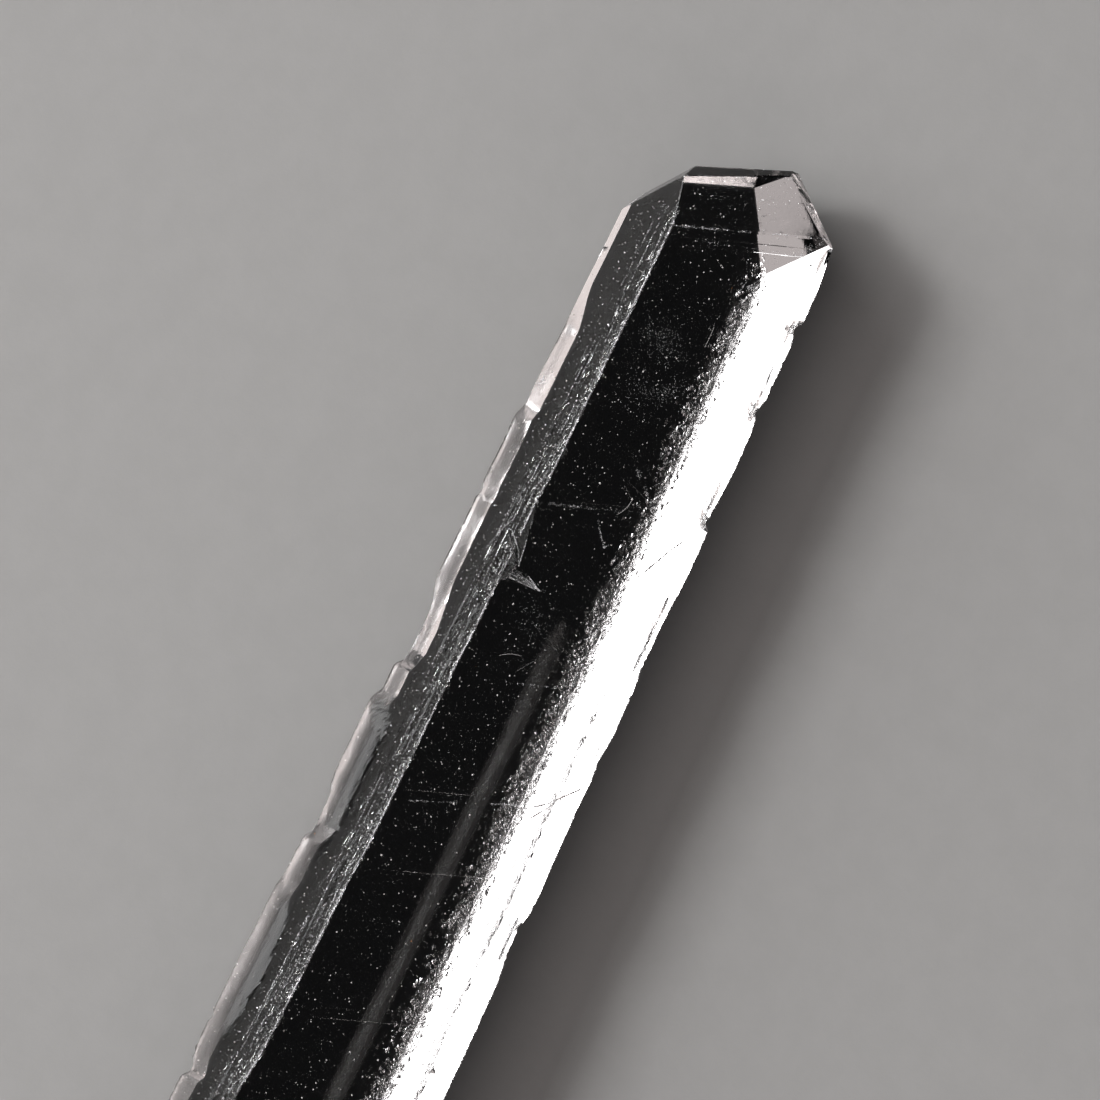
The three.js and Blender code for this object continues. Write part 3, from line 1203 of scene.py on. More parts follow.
@dataclass(frozen=True)
class BaseBreak:
    """The broken base: one plain break across the axis, with steps and shell-shaped ripples."""

    facet: Facet = Facet((0.91, 0.345, 0.2), (39.0, 0.6, 1.58))
    reach: float = 7.0
    half_width: float = 4.4
    half_height: float = 2.4
    columns: int = 110
    lines: int = 46
    deepest: float = 0.32
    treads: int = 7
    struck: tuple[float, float] = (-3.4, 2.0)
    ripple: float = 0.012
    ripple_length: float = 0.3
    crumb: float = 0.03
    crumb_cell: float = 0.16
    seed: int = 51

    def solid(self) -> Object:
        """Make the block beyond the break, with the broken surface as its near side.

        Returns:
            The tool.
        """
        outward = self.facet.plane()[:3]
        across = np.cross((0, 0, 1), outward)
        across /= np.linalg.norm(across)
        up = np.cross(outward, across)
        u, v = np.meshgrid(
            np.linspace(-self.half_width, self.half_width, self.columns),
            np.linspace(-self.half_height, self.half_height, self.lines),
        )
        grain = Grain(self.seed)
        broad = grain.layered(u / 2.1 + 3.0, v / 1.5 + 7.0, 2)
        tread = np.floor(broad * self.treads + 0.35 * v) / self.treads
        start = np.hypot(u - self.struck[0], v - self.struck[1])
        rings = 0.5 + 0.5 * np.sin(start * 2 * np.pi / self.ripple_length + 3 * grain.smooth(u, v))
        crumbs = grain.layered(u / self.crumb_cell, v / self.crumb_cell + 33.0, 2)
        depth = self.deepest * (0.55 * tread + 0.3 * broad) + self.ripple * rings * ramp(start, 5.5, 0.5)
        depth = depth + self.crumb * crumbs
        near = np.array(self.facet.through) + u[..., None] * across + v[..., None] * up
        near = (near - depth[..., None] * outward).reshape(-1, 3)
        far = near + outward * self.reach
        count = len(near)
        grid = np.arange(count).reshape(u.shape)
        faces = []
        for shift, turn in ((0, 1), (count, -1)):
            a, b, c, d = grid[:-1, :-1], grid[:-1, 1:], grid[1:, 1:], grid[1:, :-1]
            quads = np.stack([a, b, c, d], axis=-1).reshape(-1, 4) + shift
            faces += quads[:, ::-turn].tolist()
        rim = np.concatenate([grid[0], grid[1:, -1], grid[-1, -2::-1], grid[-2:0:-1, 0]])
        faces += [(a, b, b + count, a + count) for a, b in zip(np.roll(rim, -1).tolist(), rim.tolist())]
        made = mesh_object("base_break", np.concatenate([near, far]), faces)
        mend(made.data, triangulate=True, face_out=True)
        return made


@dataclass(frozen=True)
class ShellScar:
    """A shell-shaped scar with fine ribs that spread from the point that was struck."""

    centre: Triple
    half: Triple
    struck: Triple
    rib_length: float
    rib_depth: float = 0.035
    seed: int = 61
    frost: float = 0.12

    def solid(self, name: str) -> Object:
        """Make the ribbed ellipsoid.

        Args:
            name: The tool's name.

        Returns:
            The tool.
        """
        shell = bmesh.new()
        bmesh.ops.create_icosphere(shell, subdivisions=5, radius=1.0)
        mesh = bpy.data.meshes.new(name)
        shell.to_mesh(mesh)
        shell.free()
        unit = points_of(mesh)
        places = unit * self.half + self.centre
        away = np.linalg.norm(places - self.struck, axis=1)
        grain = Grain(self.seed)
        rough = grain.layered(unit[:, 0] * 3 + 9, unit[:, 1] * 3 + unit[:, 2] * 2 + 9, 3)
        size = 1 + self.rib_depth * np.sin(2 * np.pi * away / self.rib_length) - 0.16 * rough + 0.08
        places = unit * size[:, None] * self.half + self.centre
        set_points(mesh, places)
        return in_scene(name, mesh)


@dataclass(frozen=True)
class Groove:
    """A fine open groove, such as a growth line or a scratch, along a path on one face."""

    path: tuple[Triple, ...]
    outward: Triple
    width: float = 0.03
    depth: float = 0.012
    wander: float = 0.02
    seed: int = 71
    lift: float = 0.04
    step: float = 0.16

    def solid(self, name: str) -> Object:
        """Sweep the groove's section along its path.

        Args:
            name: The tool's name.

        Returns:
            The tool.
        """
        route = Route(self.path)
        at = np.linspace(0.0, route.length, max(3, int(route.length / self.step) + 1))
        line = route.at(at)
        outward = np.array(self.outward) / np.linalg.norm(self.outward)
        side = np.cross(np.gradient(line, axis=0), outward)
        side /= np.linalg.norm(side, axis=1)[:, None]
        grain = Grain(self.seed)
        line = line + side * (self.wander * (grain.along(at / 0.8, 3.3, 2) - 0.5))[:, None]
        fade = 0.35 + 0.65 * swell(at, 0.0, route.length, 0.25)
        fade = (fade * (0.6 + 0.8 * grain.along(at / 0.3, 8.8)))[:, None]
        half_top = self.width / 2 * (self.lift + self.depth) / self.depth
        top = line + outward * self.lift
        rings = np.stack([top + side * half_top, top - side * half_top, line - outward * self.depth * fade])
        rings = rings.transpose(1, 0, 2).reshape(-1, 3)
        faces = [(0, 1, 2), tuple(len(rings) - 1 - i for i in range(3))]
        for i in range(len(line) - 1):
            for j in range(3):
                a, b = 3 * i + j, 3 * i + (j + 1) % 3
                faces += [(a, a + 3, b), (b, a + 3, b + 3)]
        made = mesh_object(name, rings, faces)
        mend(made.data, triangulate=False, face_out=True)
        return made


# ---------------------------------------------------------------- finishes


@dataclass(frozen=True)
class GrainGroup:
    """The shader group that every finish takes its fine patchiness from."""

    name: str = "fine_grain"
    detail: float = 5.0
    roughness: float = 0.62

    def tree(self) -> NodeTree:
        """Build the group once.

        Returns:
            The group, with the inputs Vector, Scale, Low and High and the outputs Mask and Height.
        """
        made = bpy.data.node_groups.get(self.name)
        if made:
            return made
        made = bpy.data.node_groups.new(self.name, "ShaderNodeTree")
        made.interface.new_socket(name="Vector", in_out="INPUT", socket_type="NodeSocketVector")
        for name, value in (("Scale", 1.0), ("Low", 0.4), ("High", 0.7)):
            socket = made.interface.new_socket(name=name, in_out="INPUT", socket_type="NodeSocketFloat")
            socket.default_value = value
        for name in ("Mask", "Height"):
            made.interface.new_socket(name=name, in_out="OUTPUT", socket_type="NodeSocketFloat")
        given = made.nodes.new("NodeGroupInput").outputs
        result = made.nodes.new("NodeGroupOutput").inputs
        noise, span = made.nodes.new("ShaderNodeTexNoise"), made.nodes.new("ShaderNodeMapRange")
        noise.inputs["Detail"].default_value = self.detail
        noise.inputs["Roughness"].default_value = self.roughness
        span.interpolation_type = "SMOOTHSTEP"
        for source, target in (
            (given["Vector"], noise.inputs["Vector"]),
            (given["Scale"], noise.inputs["Scale"]),
            (noise.outputs["Fac"], span.inputs["Value"]),
            (given["Low"], span.inputs["From Min"]),
            (given["High"], span.inputs["From Max"]),
            (span.outputs["Result"], result["Mask"]),
            (noise.outputs["Fac"], result["Height"]),
        ):
            made.links.new(source, target)
        return made


class MaterialBench:
    """A material that is being made: its nodes, its links and its main shader."""

    def __init__(self, name: str) -> None:
        """Start a material with object coordinates in millimetres.

        Args:
            name: The material's name.
        """
        self.material = bpy.data.materials.new(name)
        self.material.use_nodes = True
        self.tree = self.material.node_tree
        coordinates = self.node("ShaderNodeTexCoord").outputs["Object"]
        self.places = self.scaled((1 / MM, 1 / MM, 1 / MM), coordinates)

    def node(self, kind: str) -> Node:
        """Add a node."""
        return self.tree.nodes.new(kind)

    def feed(self, target: NodeSocket, source: Source) -> None:
        """Link a socket to another one, or set its own value.

        Args:
            target: The socket.
            source: The other socket, or the value.
        """
        if isinstance(source, NodeSocket):
            self.tree.links.new(source, target)
        else:
            target.default_value = source

    def shade(self, name: str, source: Source) -> None:
        """Feed one of the main shader's sockets."""
        self.feed(self.tree.nodes["Principled BSDF"].inputs[name], source)

    def fill(self, source: NodeSocket) -> None:
        """Give the material its inside."""
        self.feed(self.tree.nodes["Material Output"].inputs["Volume"], source)

    def worked(self, kind: str, operation: str, *sources: Source) -> NodeSocket:
        """Place a node that works on some values.

        Args:
            kind: The kind of node.
            operation: What it does with the values.
            sources: The values, in the order of its inputs.

        Returns:
            The result.
        """
        node = self.node(kind)
        node.operation = operation
        for target, source in zip(node.inputs, sources):
            self.feed(target, source)
        return node.outputs[0]

    def scaled(self, factors: Triple, source: NodeSocket, turn: float = 0.0) -> NodeSocket:
        """Scale some coordinates, after turning them about Z.

        Args:
            factors: The factor along each direction.
            source: The coordinates.
            turn: The angle in radians.

        Returns:
            The scaled coordinates.
        """
        if turn:
            turned = self.node("ShaderNodeVectorRotate")
            turned.rotation_type = "Z_AXIS"
            self.feed(turned.inputs["Angle"], turn)
            self.feed(turned.inputs["Vector"], source)
            source = turned.outputs["Vector"]
        return self.worked("ShaderNodeVectorMath", "MULTIPLY", source, factors)

    def grain(self, source: NodeSocket, scale: float, low: float = 0.4, high: float = 0.7) -> Node:
        """Place the shared grain group with its own values.

        Args:
            source: The coordinates.
            scale: Cells for each unit of the coordinates.
            low: Where the mask is 0.
            high: Where the mask is 1.

        Returns:
            The group's node.
        """
        group = self.node("ShaderNodeGroup")
        group.node_tree = GrainGroup().tree()
        for name, value in (("Vector", source), ("Scale", scale), ("Low", low), ("High", high)):
            self.feed(group.inputs[name], value)
        return group

    def sum_of(self, start: float, *terms: tuple[NodeSocket, float]) -> NodeSocket:
        """Add several values, each with its own weight.

        Args:
            start: The value where every term is 0.
            terms: Each value with its weight.

        Returns:
            The sum.
        """
        total = start
        for value, weight in terms:
            total = self.worked("ShaderNodeMath", "MULTIPLY_ADD", value, weight, total)
        return total

    def product(self, a: NodeSocket, b: NodeSocket) -> NodeSocket:
        """Multiply two values."""
        return self.worked("ShaderNodeMath", "MULTIPLY", a, b)

    def blend(self, mask: NodeSocket, low: Triple, high: Triple) -> NodeSocket:
        """Blend two colours by a mask.

        Args:
            mask: From 0 to 1.
            low: The colour where the mask is 0.
            high: The colour where the mask is 1.

        Returns:
            The blended colour.
        """
        mix = self.node("ShaderNodeMix")
        mix.data_type = "RGBA"
        for name, source in (("Factor", mask), ("A", (*low, 1.0)), ("B", (*high, 1.0))):
            self.feed(mix.inputs[name], source)
        return mix.outputs["Result"]

    def bump(self, height: NodeSocket, distance: float) -> None:
        """Let a height tilt the surface.

        Args:
            height: The height, about 0 to 1.
            distance: How far up 1 is, in metres.
        """
        bump = self.node("ShaderNodeBump")
        self.feed(bump.inputs["Distance"], distance)
        self.feed(bump.inputs["Height"], height)
        self.shade("Normal", bump.outputs["Normal"])


@dataclass(frozen=True)
class ClearCrystal:
    """Colourless, glassy crystal, frosted where it is worn."""

    refraction: float = 1.578
    smooth: float = 0.008
    worn: float = 0.5
    haze: float = 0.07
    absorption: float = 100.0
    tint: Triple = (0.86, 0.83, 0.83)
    whole_tone: Triple = (1.0, 1.0, 1.0)
    worn_tone: Triple = (0.95, 0.93, 0.92)
    growth_turn: float = math.radians(20.8)
    relief: float = 1.5e-6
    # how much each part of the relief tilts the surface
    growth_lines: float = 0.3
    ripples: float = 0.4
    frost: float = 1.5
    pits: float = -5.0

    def make(self) -> Material:
        """Build the material.

        Returns:
            The material.
        """
        bench = MaterialBench("clear_crystal")
        bench.shade("IOR", self.refraction)
        bench.shade("Transmission Weight", 1.0)
        worn, pitted = (self.surface_value(bench, name) for name in (WORN, PITTED))
        patches = bench.grain(bench.places, scale=0.42, low=0.52, high=0.78)
        spots = bench.grain(bench.places, scale=5.5, low=0.56, high=0.7)
        etched = bench.product(patches.outputs["Mask"], spots.outputs["Mask"])
        roughness = bench.sum_of(self.smooth, (etched, self.haze), (worn, self.worn))
        bench.shade("Roughness", roughness)
        across = bench.scaled((9.0, 0.5, 1.2), bench.places, self.growth_turn)
        lines = bench.grain(across, scale=1.0, low=0.58, high=0.72)
        ripples = bench.grain(bench.scaled((0.25, 9.0, 9.0), bench.places), scale=1.0, low=0.5, high=0.7)
        pits = bench.grain(bench.scaled((0.7, 1.0, 1.0), bench.places, 0.5), scale=9.0, low=0.42, high=0.6)
        height = bench.sum_of(
            0.0,
            (bench.product(lines.outputs["Mask"], patches.outputs["Mask"]), self.growth_lines),
            (ripples.outputs["Height"], self.ripples),
            (bench.product(spots.outputs["Height"], worn), self.frost),
            (bench.product(pits.outputs["Mask"], pitted), self.pits),
        )
        bench.bump(height, self.relief)
        bench.shade("Base Color", bench.blend(worn, self.whole_tone, self.worn_tone))
        inside = bench.node("ShaderNodeVolumeAbsorption")
        bench.feed(inside.inputs["Color"], (*self.tint, 1.0))
        bench.feed(inside.inputs["Density"], self.absorption)
        bench.fill(inside.outputs["Volume"])
        return bench.material

    def surface_value(self, bench: MaterialBench, name: str) -> NodeSocket:
        """Read one of the values that the crystal's corners carry.

        Args:
            bench: The material that reads it.
            name: The value's name.

        Returns:
            The value.
        """
        reader = bench.node("ShaderNodeAttribute")
        reader.attribute_name = name
        return reader.outputs["Fac"]


@dataclass(frozen=True)
class GrainyFinish:
    """A dry finish of two near tones with a fine grain, such as dust or studio card."""

    name: str
    pale: Triple
    dark: Triple
    roughness: float
    rougher: float = 0.1
    shine: float = 0.5
    glint: float = 0.0
    patches: Triple = (9.0, 0.5, 0.75)  # cells in a millimetre, and where the mask is 0 and 1
    relief_cells: float = 60.0
    relief: float = 2e-6

    def make(self) -> Material:
        """Build the material.

        Returns:
            The material.
        """
        bench = MaterialBench(self.name)
        grain = bench.grain(bench.places, *self.patches)
        bench.shade("Base Color", bench.blend(grain.outputs["Mask"], self.pale, self.dark))
        bench.shade("Roughness", bench.sum_of(self.roughness, (grain.outputs["Height"], self.rougher)))
        bench.shade("Specular IOR Level", self.shine)
        bench.shade("Metallic", self.glint)
        bench.bump(bench.grain(bench.places, self.relief_cells).outputs["Height"], self.relief)
        return bench.material


# ---------------------------------------------------------------- the pieces


@dataclass
class CrystalBody:
    """The whole crystal: a long clear prism with a faceted tip, worn edges and a broken base."""

    form: GrowthForm = GrowthForm()
    tip: Termination = Termination()
    base: BaseBreak = BaseBreak()
    ridges: GrowthRidges = GrowthRidges()
    pits: SidePits = SidePits()
    bruise: BruisedEdge = BruisedEdge()
    ledge: SideLedge = SideLedge()
    front_left_wear: EdgeWear = EdgeWear(reach=0.045, least=0.006, most=0.022, cell=0.09, seed=5)
    front_right_wear: EdgeWear = EdgeWear(reach=0.1, least=0.003, most=0.035, cell=0.2, seed=6)
    rim_wear: EdgeWear = EdgeWear(
        reach=0.2, least=0.0, most=0.032, cell=0.3, seed=7, whole_until=6.2, worn_from=8.5, whole_share=0.0
    )
    front_left_chips: ChippedEdge = ChippedEdge(70, (0.02, 0.07), stretch=1.8, seed=41, named=((10.7, 0.12),))
    front_right_chips: ChippedEdge = ChippedEdge(
        80, (0.025, 0.08), stretch=1.5, seed=43,
        named=((4.3, 0.16), (7.1, 0.12), (6.2, 0.08), (10.7, 0.11), (24.1, 0.12)),
    )
    rim_chips: ChippedEdge = ChippedEdge(26, (0.03, 0.09), stretch=1.8, seed=47, start=7.5)
    wedge: tuple[Triple, ...] = (
        (12.33, -0.96, 3.16), (14.36, -0.627, 3.16), (13.27, -1.62, 2.1), (13.5, -1.8, 3.9),
    )
    scars: tuple[ShellScar, ...] = (
        ShellScar((14.55, -1.45, 3.0), (0.62, 0.75, 0.62), (13.7, -1.0, 3.15), rib_length=0.13),
        ShellScar((10.7, -1.02, 3.15), (0.25, 0.16, 0.2), (10.6, -0.9, 3.1), 0.09, 0.05, seed=63),
        ShellScar((24.5, 4.36, 3.0), (0.5, 0.25, 0.4), (24.3, 4.3, 3.2), 0.12, 0.04, seed=64),
    )
    # growth lines across the front: [distance behind the tip where one starts, how far across it ends]
    growth_lines: Line = (
        (3.45, 3.4), (3.62, 3.6), (12.0, 2.2), (21.9, 1.4), (24.4, 3.9), (29.2, 2.6), (36.1, 3.7),
    )
    growth_line_slope: float = 0.38
    # scratches on the front: [distance behind the tip, place across, bearing, length]
    scratches: tuple[tuple[float, ...], ...] = (
        (10.9, 2.0, 1.9, 0.9), (11.2, 1.75, 2.2, 0.7), (16.6, 1.1, 0.6, 0.8), (22.6, 0.3, 2.5, 1.0),
    )
    # cracks down the right side: [distance behind the tip, height]
    cracks: tuple[Line, ...] = (
        ((13.3, 0.5), (12.0, 1.6), (11.0, 2.7)),
        ((20.9, 0.35), (20.4, 1.5), (19.4, 3.0)),
        ((21.5, 0.35), (20.9, 1.1), (20.35, 1.75)),
    )
    # the ribbed fan on the front edge: its ribs spread from the apex to the line from foot to head
    fan_ribs: int = 6
    fan_apex: tuple[float, float] = (14.76, 0.3)
    fan_foot: tuple[float, float] = (14.79, -0.75)
    fan_head: tuple[float, float] = (14.49, -0.56)
    # the fan's frost, along and across: where it starts, is whole, is still whole, and ends
    fan_along: tuple[float, ...] = (14.35, 14.45, 14.85, 14.95)
    fan_across: tuple[float, ...] = (-0.85, -0.8, 0.35, 0.4)
    bruise_frost: float = 0.14
    bruised_from: Span = (3.5, 4.4)
    side_frost: float = 0.3
    side_frost_rises: Span = (1.7, 0.9)
    side_frost_from: Span = (5.2, 7.4)
    step_frost: float = 0.8
    base_frost: float = 0.25
    crack_frost_reach: float = 0.12
    cut_depth: float = 0.004  # how deep a place has to lie before it counts as cut
    seed: int = 1

    def relief(self) -> Object:
        """Build the long body with its growth lines and worn edges.

        Returns:
            The closed body, still without its tip and base.
        """
        form, prism = self.form, Prism(self.form)
        skin, numbers = prism.skin(self.seed)
        rim_girth = (form.thickness - form.rim_height) * form.steep
        self.ridges.carve(skin, form)
        self.pits.carve(skin, form)
        self.front_left_wear.carve(skin, skin.from_front_left())
        self.front_right_wear.carve(skin, np.abs(skin.past_front_right()))
        self.rim_wear.carve(skin, np.abs(skin.girth - rim_girth))
        self.bruise.carve(skin, form)
        self.ledge.carve(skin, form)
        self.front_left_chips.carve(skin, lambda x: (float(form.left(x)), form.thickness))
        self.front_right_chips.carve(skin, lambda x: (float(form.right(x)), form.thickness))
        self.rim_chips.carve(skin, lambda x: (float(form.left_wall(x, form.rim_height)), form.rim_height))
        skin.points[:, 2] = np.clip(skin.points[:, 2], 0.0, form.thickness)
        return prism.solid(skin, numbers)

    def crack_grooves(self) -> list[Groove]:
        """Lay out the cracks down the right side.

        Returns:
            The grooves.
        """
        form, found = self.form, []
        for i, crack in enumerate(self.cracks):
            path = tuple((x, float(form.right_wall(x, z)), z) for x, z in crack)
            outward = (0.0, form.thickness, -form.slant)
            found.append(Groove(path, outward, width=0.05, depth=0.03, wander=0.06, seed=101 + i))
        return found

    def grooves(self) -> list[Groove]:
        """Lay out the growth lines, the scratches and the fan on the front, and the cracks.

        Returns:
            The grooves.
        """
        top, front = self.form.thickness, (0.0, 0.0, 1.0)
        found = []
        for i, (x, end) in enumerate(self.growth_lines):
            start = -0.85 + 0.3 * (i % 3)
            across = (start, 0.5 * (start + end), end)
            path = tuple((x - self.growth_line_slope * (y - start), y, top) for y in across)
            found.append(Groove(path, front, width=0.022, depth=0.008, wander=0.03, seed=81 + i))
        for i, (x, y, way, size) in enumerate(self.scratches):
            path = ((x, y, top), (x + size * math.cos(way), y - size * math.sin(way), top))
            found.append(Groove(path, front, width=0.018, depth=0.006, wander=0.03, seed=91 + i))
        apex, foot, head = (np.array(corner) for corner in (self.fan_apex, self.fan_foot, self.fan_head))
        for i in range(self.fan_ribs):
            share = i / (self.fan_ribs - 1)
            start, end = foot + (head - foot) * share, apex + (head - apex) * 0.55 * share
            path, width = ((*start, top), (*end, top)), 0.07 - 0.02 * share
            found.append(Groove(path, front, width=width, depth=0.045, wander=0.015, seed=111 + i))
        return found + self.crack_grooves()

    def build(self) -> Object:
        """Shape the crystal and move it into the model's frame.

        Returns:
            The crystal.
        """
        crystal = self.relief()
        work(crystal, self.tip.solid(self.form), Join.KEEP_INSIDE)
        work(crystal, self.base.solid(), Join.CUT)
        work(crystal, convex_object("edge_wedge", self.wedge), Join.CUT)
        for i, scar in enumerate(self.scars):
            work(crystal, scar.solid(f"scar_{i}"), Join.CUT)
        for i, groove in enumerate(self.grooves()):
            work(crystal, groove.solid(f"groove_{i}"), Join.CUT)
        self.mark_wear(crystal)
        self.settle(crystal)
        return crystal

    def bruised_back(self, points: Array) -> Array:
        """Work out how bruised the back face is beside its right edge.

        Args:
            points: The crystal's corners in its growth frame.

        Returns:
            From 0, whole, to 1, crushed.
        """
        x, y, z = points.T
        inside = (self.form.right_flat(x) - self.form.slant) - y
        bruised = self.bruise.mask(x, -inside) * ramp(z, 0.25, 0.12)
        return bruised * ramp(inside, 0.95, 0.75) * ramp(x, *self.bruised_from)

    def frosted_places(self, points: Array) -> list[Array]:
        """Work out the frost of the left side, the scars, the fan, the cracks, the base and the back step.

        Args:
            points: The crystal's corners in its growth frame.

        Returns:
            How rough each of them makes the surface.
        """
        form = self.form
        x, y, z = points.T
        side = self.side_frost * ramp(z, *self.side_frost_rises) * ramp(y - form.left_wall(x, z), 1.1, 0.4)
        found = [side * ramp(x, *self.side_frost_from)]
        for scar in self.scars:
            inside = np.linalg.norm((points - scar.centre) / np.array(scar.half), axis=1)
            found.append(scar.frost * ramp(inside, 1.12, 1.0))
        fan = plateau(x, *self.fan_along) * plateau(y, *self.fan_across)
        found.append(fan * (z < form.thickness - self.cut_depth) * (z > form.thickness - 0.1))
        for crack in self.crack_grooves():
            path = np.array(crack.path)
            corner = np.linspace(0.0, len(path) - 1.0, 60)
            line = np.stack([np.interp(corner, range(len(path)), column) for column in path.T], axis=1)
            close = np.linalg.norm(points[:, None, :] - line[None, :, :], axis=2).min(axis=1)
            found.append((close < self.crack_frost_reach) * (form.right_wall(x, z) - y > self.cut_depth))
        plane = self.base.facet.plane()
        found.append(self.base_frost * ramp(points @ plane[:3] - plane[3], -0.6, -0.45))
        step, start = form.back_step_line, form.back_step_from
        soft = plateau(y, step - 0.2, step, step + 0.35, step + 0.6) * ramp(x, start - 1.5, start + 1.0)
        return [*found, self.step_frost * soft * ramp(z, 0.15, 0.08)]

    def mark_wear(self, crystal: Object) -> None:
        """Note how worn and how pitted the surface is at each corner, for the finish.

        Args:
            crystal: The crystal, still in its growth frame.
        """
        points = points_of(crystal.data)
        bruised, crushed = self.bruised_back(points), self.ledge.mask(self.form, points)
        worn = [self.bruise_frost * bruised, self.ledge.frost * crushed, *self.frosted_places(points)]
        for name, parts in ((WORN, worn), (PITTED, [bruised, crushed])):
            layer = crystal.data.attributes.new(name, "FLOAT", "POINT")
            layer.data.foreach_set("value", np.maximum.reduce(parts).astype(np.float32))

    def settle(self, crystal: Object) -> None:
        """Move the crystal from its growth frame into the model's frame, in metres.

        Args:
            crystal: The crystal, changed in place.
        """
        set_points(crystal.data, (points_of(crystal.data) + growth_to_model()) * MM)
        mend(crystal.data, triangulate=True, face_out=False)
        crystal.data.shade_flat()
        crystal.data.update()

    def dress(self, crystal: Object) -> None:
        """Give the crystal its finish and its place in the model.

        Args:
            crystal: The crystal.
        """
        crystal.data.materials.clear()
        crystal.data.materials.append(ClearCrystal().make())
        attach(crystal, BODY)
        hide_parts(NODE)


def growth_to_model() -> Array:
    """Return the move from the growth frame to the model's frame, in millimetres."""
    low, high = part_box(NODE)
    return np.array([low[0] / MM, (low[1] + high[1]) / 2 / MM - AXIS_OFFSET, low[2] / MM])


@dataclass(frozen=True)
class CrumbLine:
    """Crumbs along a line on the surface: its corners from above, their number, stray and largest size."""

    path: tuple[tuple[float, float], ...]
    count: int
    stray: float = 0.012
    largest: float = 0.018
    clumps: float = 0.35

    def places(self, random: np.random.Generator, grain: Grain) -> Array:
        """Draw places along the line, closer together in some stretches.

        Args:
            random: The source of chance.
            grain: Where the crumbs gather.

        Returns:
            Places behind the tip and across, one row each.
        """
        route = Route(self.path)
        at = random.uniform(0.0, route.length, self.count * 3)
        x, y = route.corners[0]
        thick = grain.along(at / self.clumps + x * 3.1, y * 7.7, 3)
        line = route.at(thinned(at, thick, (0.3, 0.75), random)[: self.count])
        return line + random.normal(0.0, self.stray, line.shape)


class DustKind(Enum):
    """The kinds of grain, in the order of their finishes."""

    PALE = 0
    RUSTY = 1
    CRUMB = 2


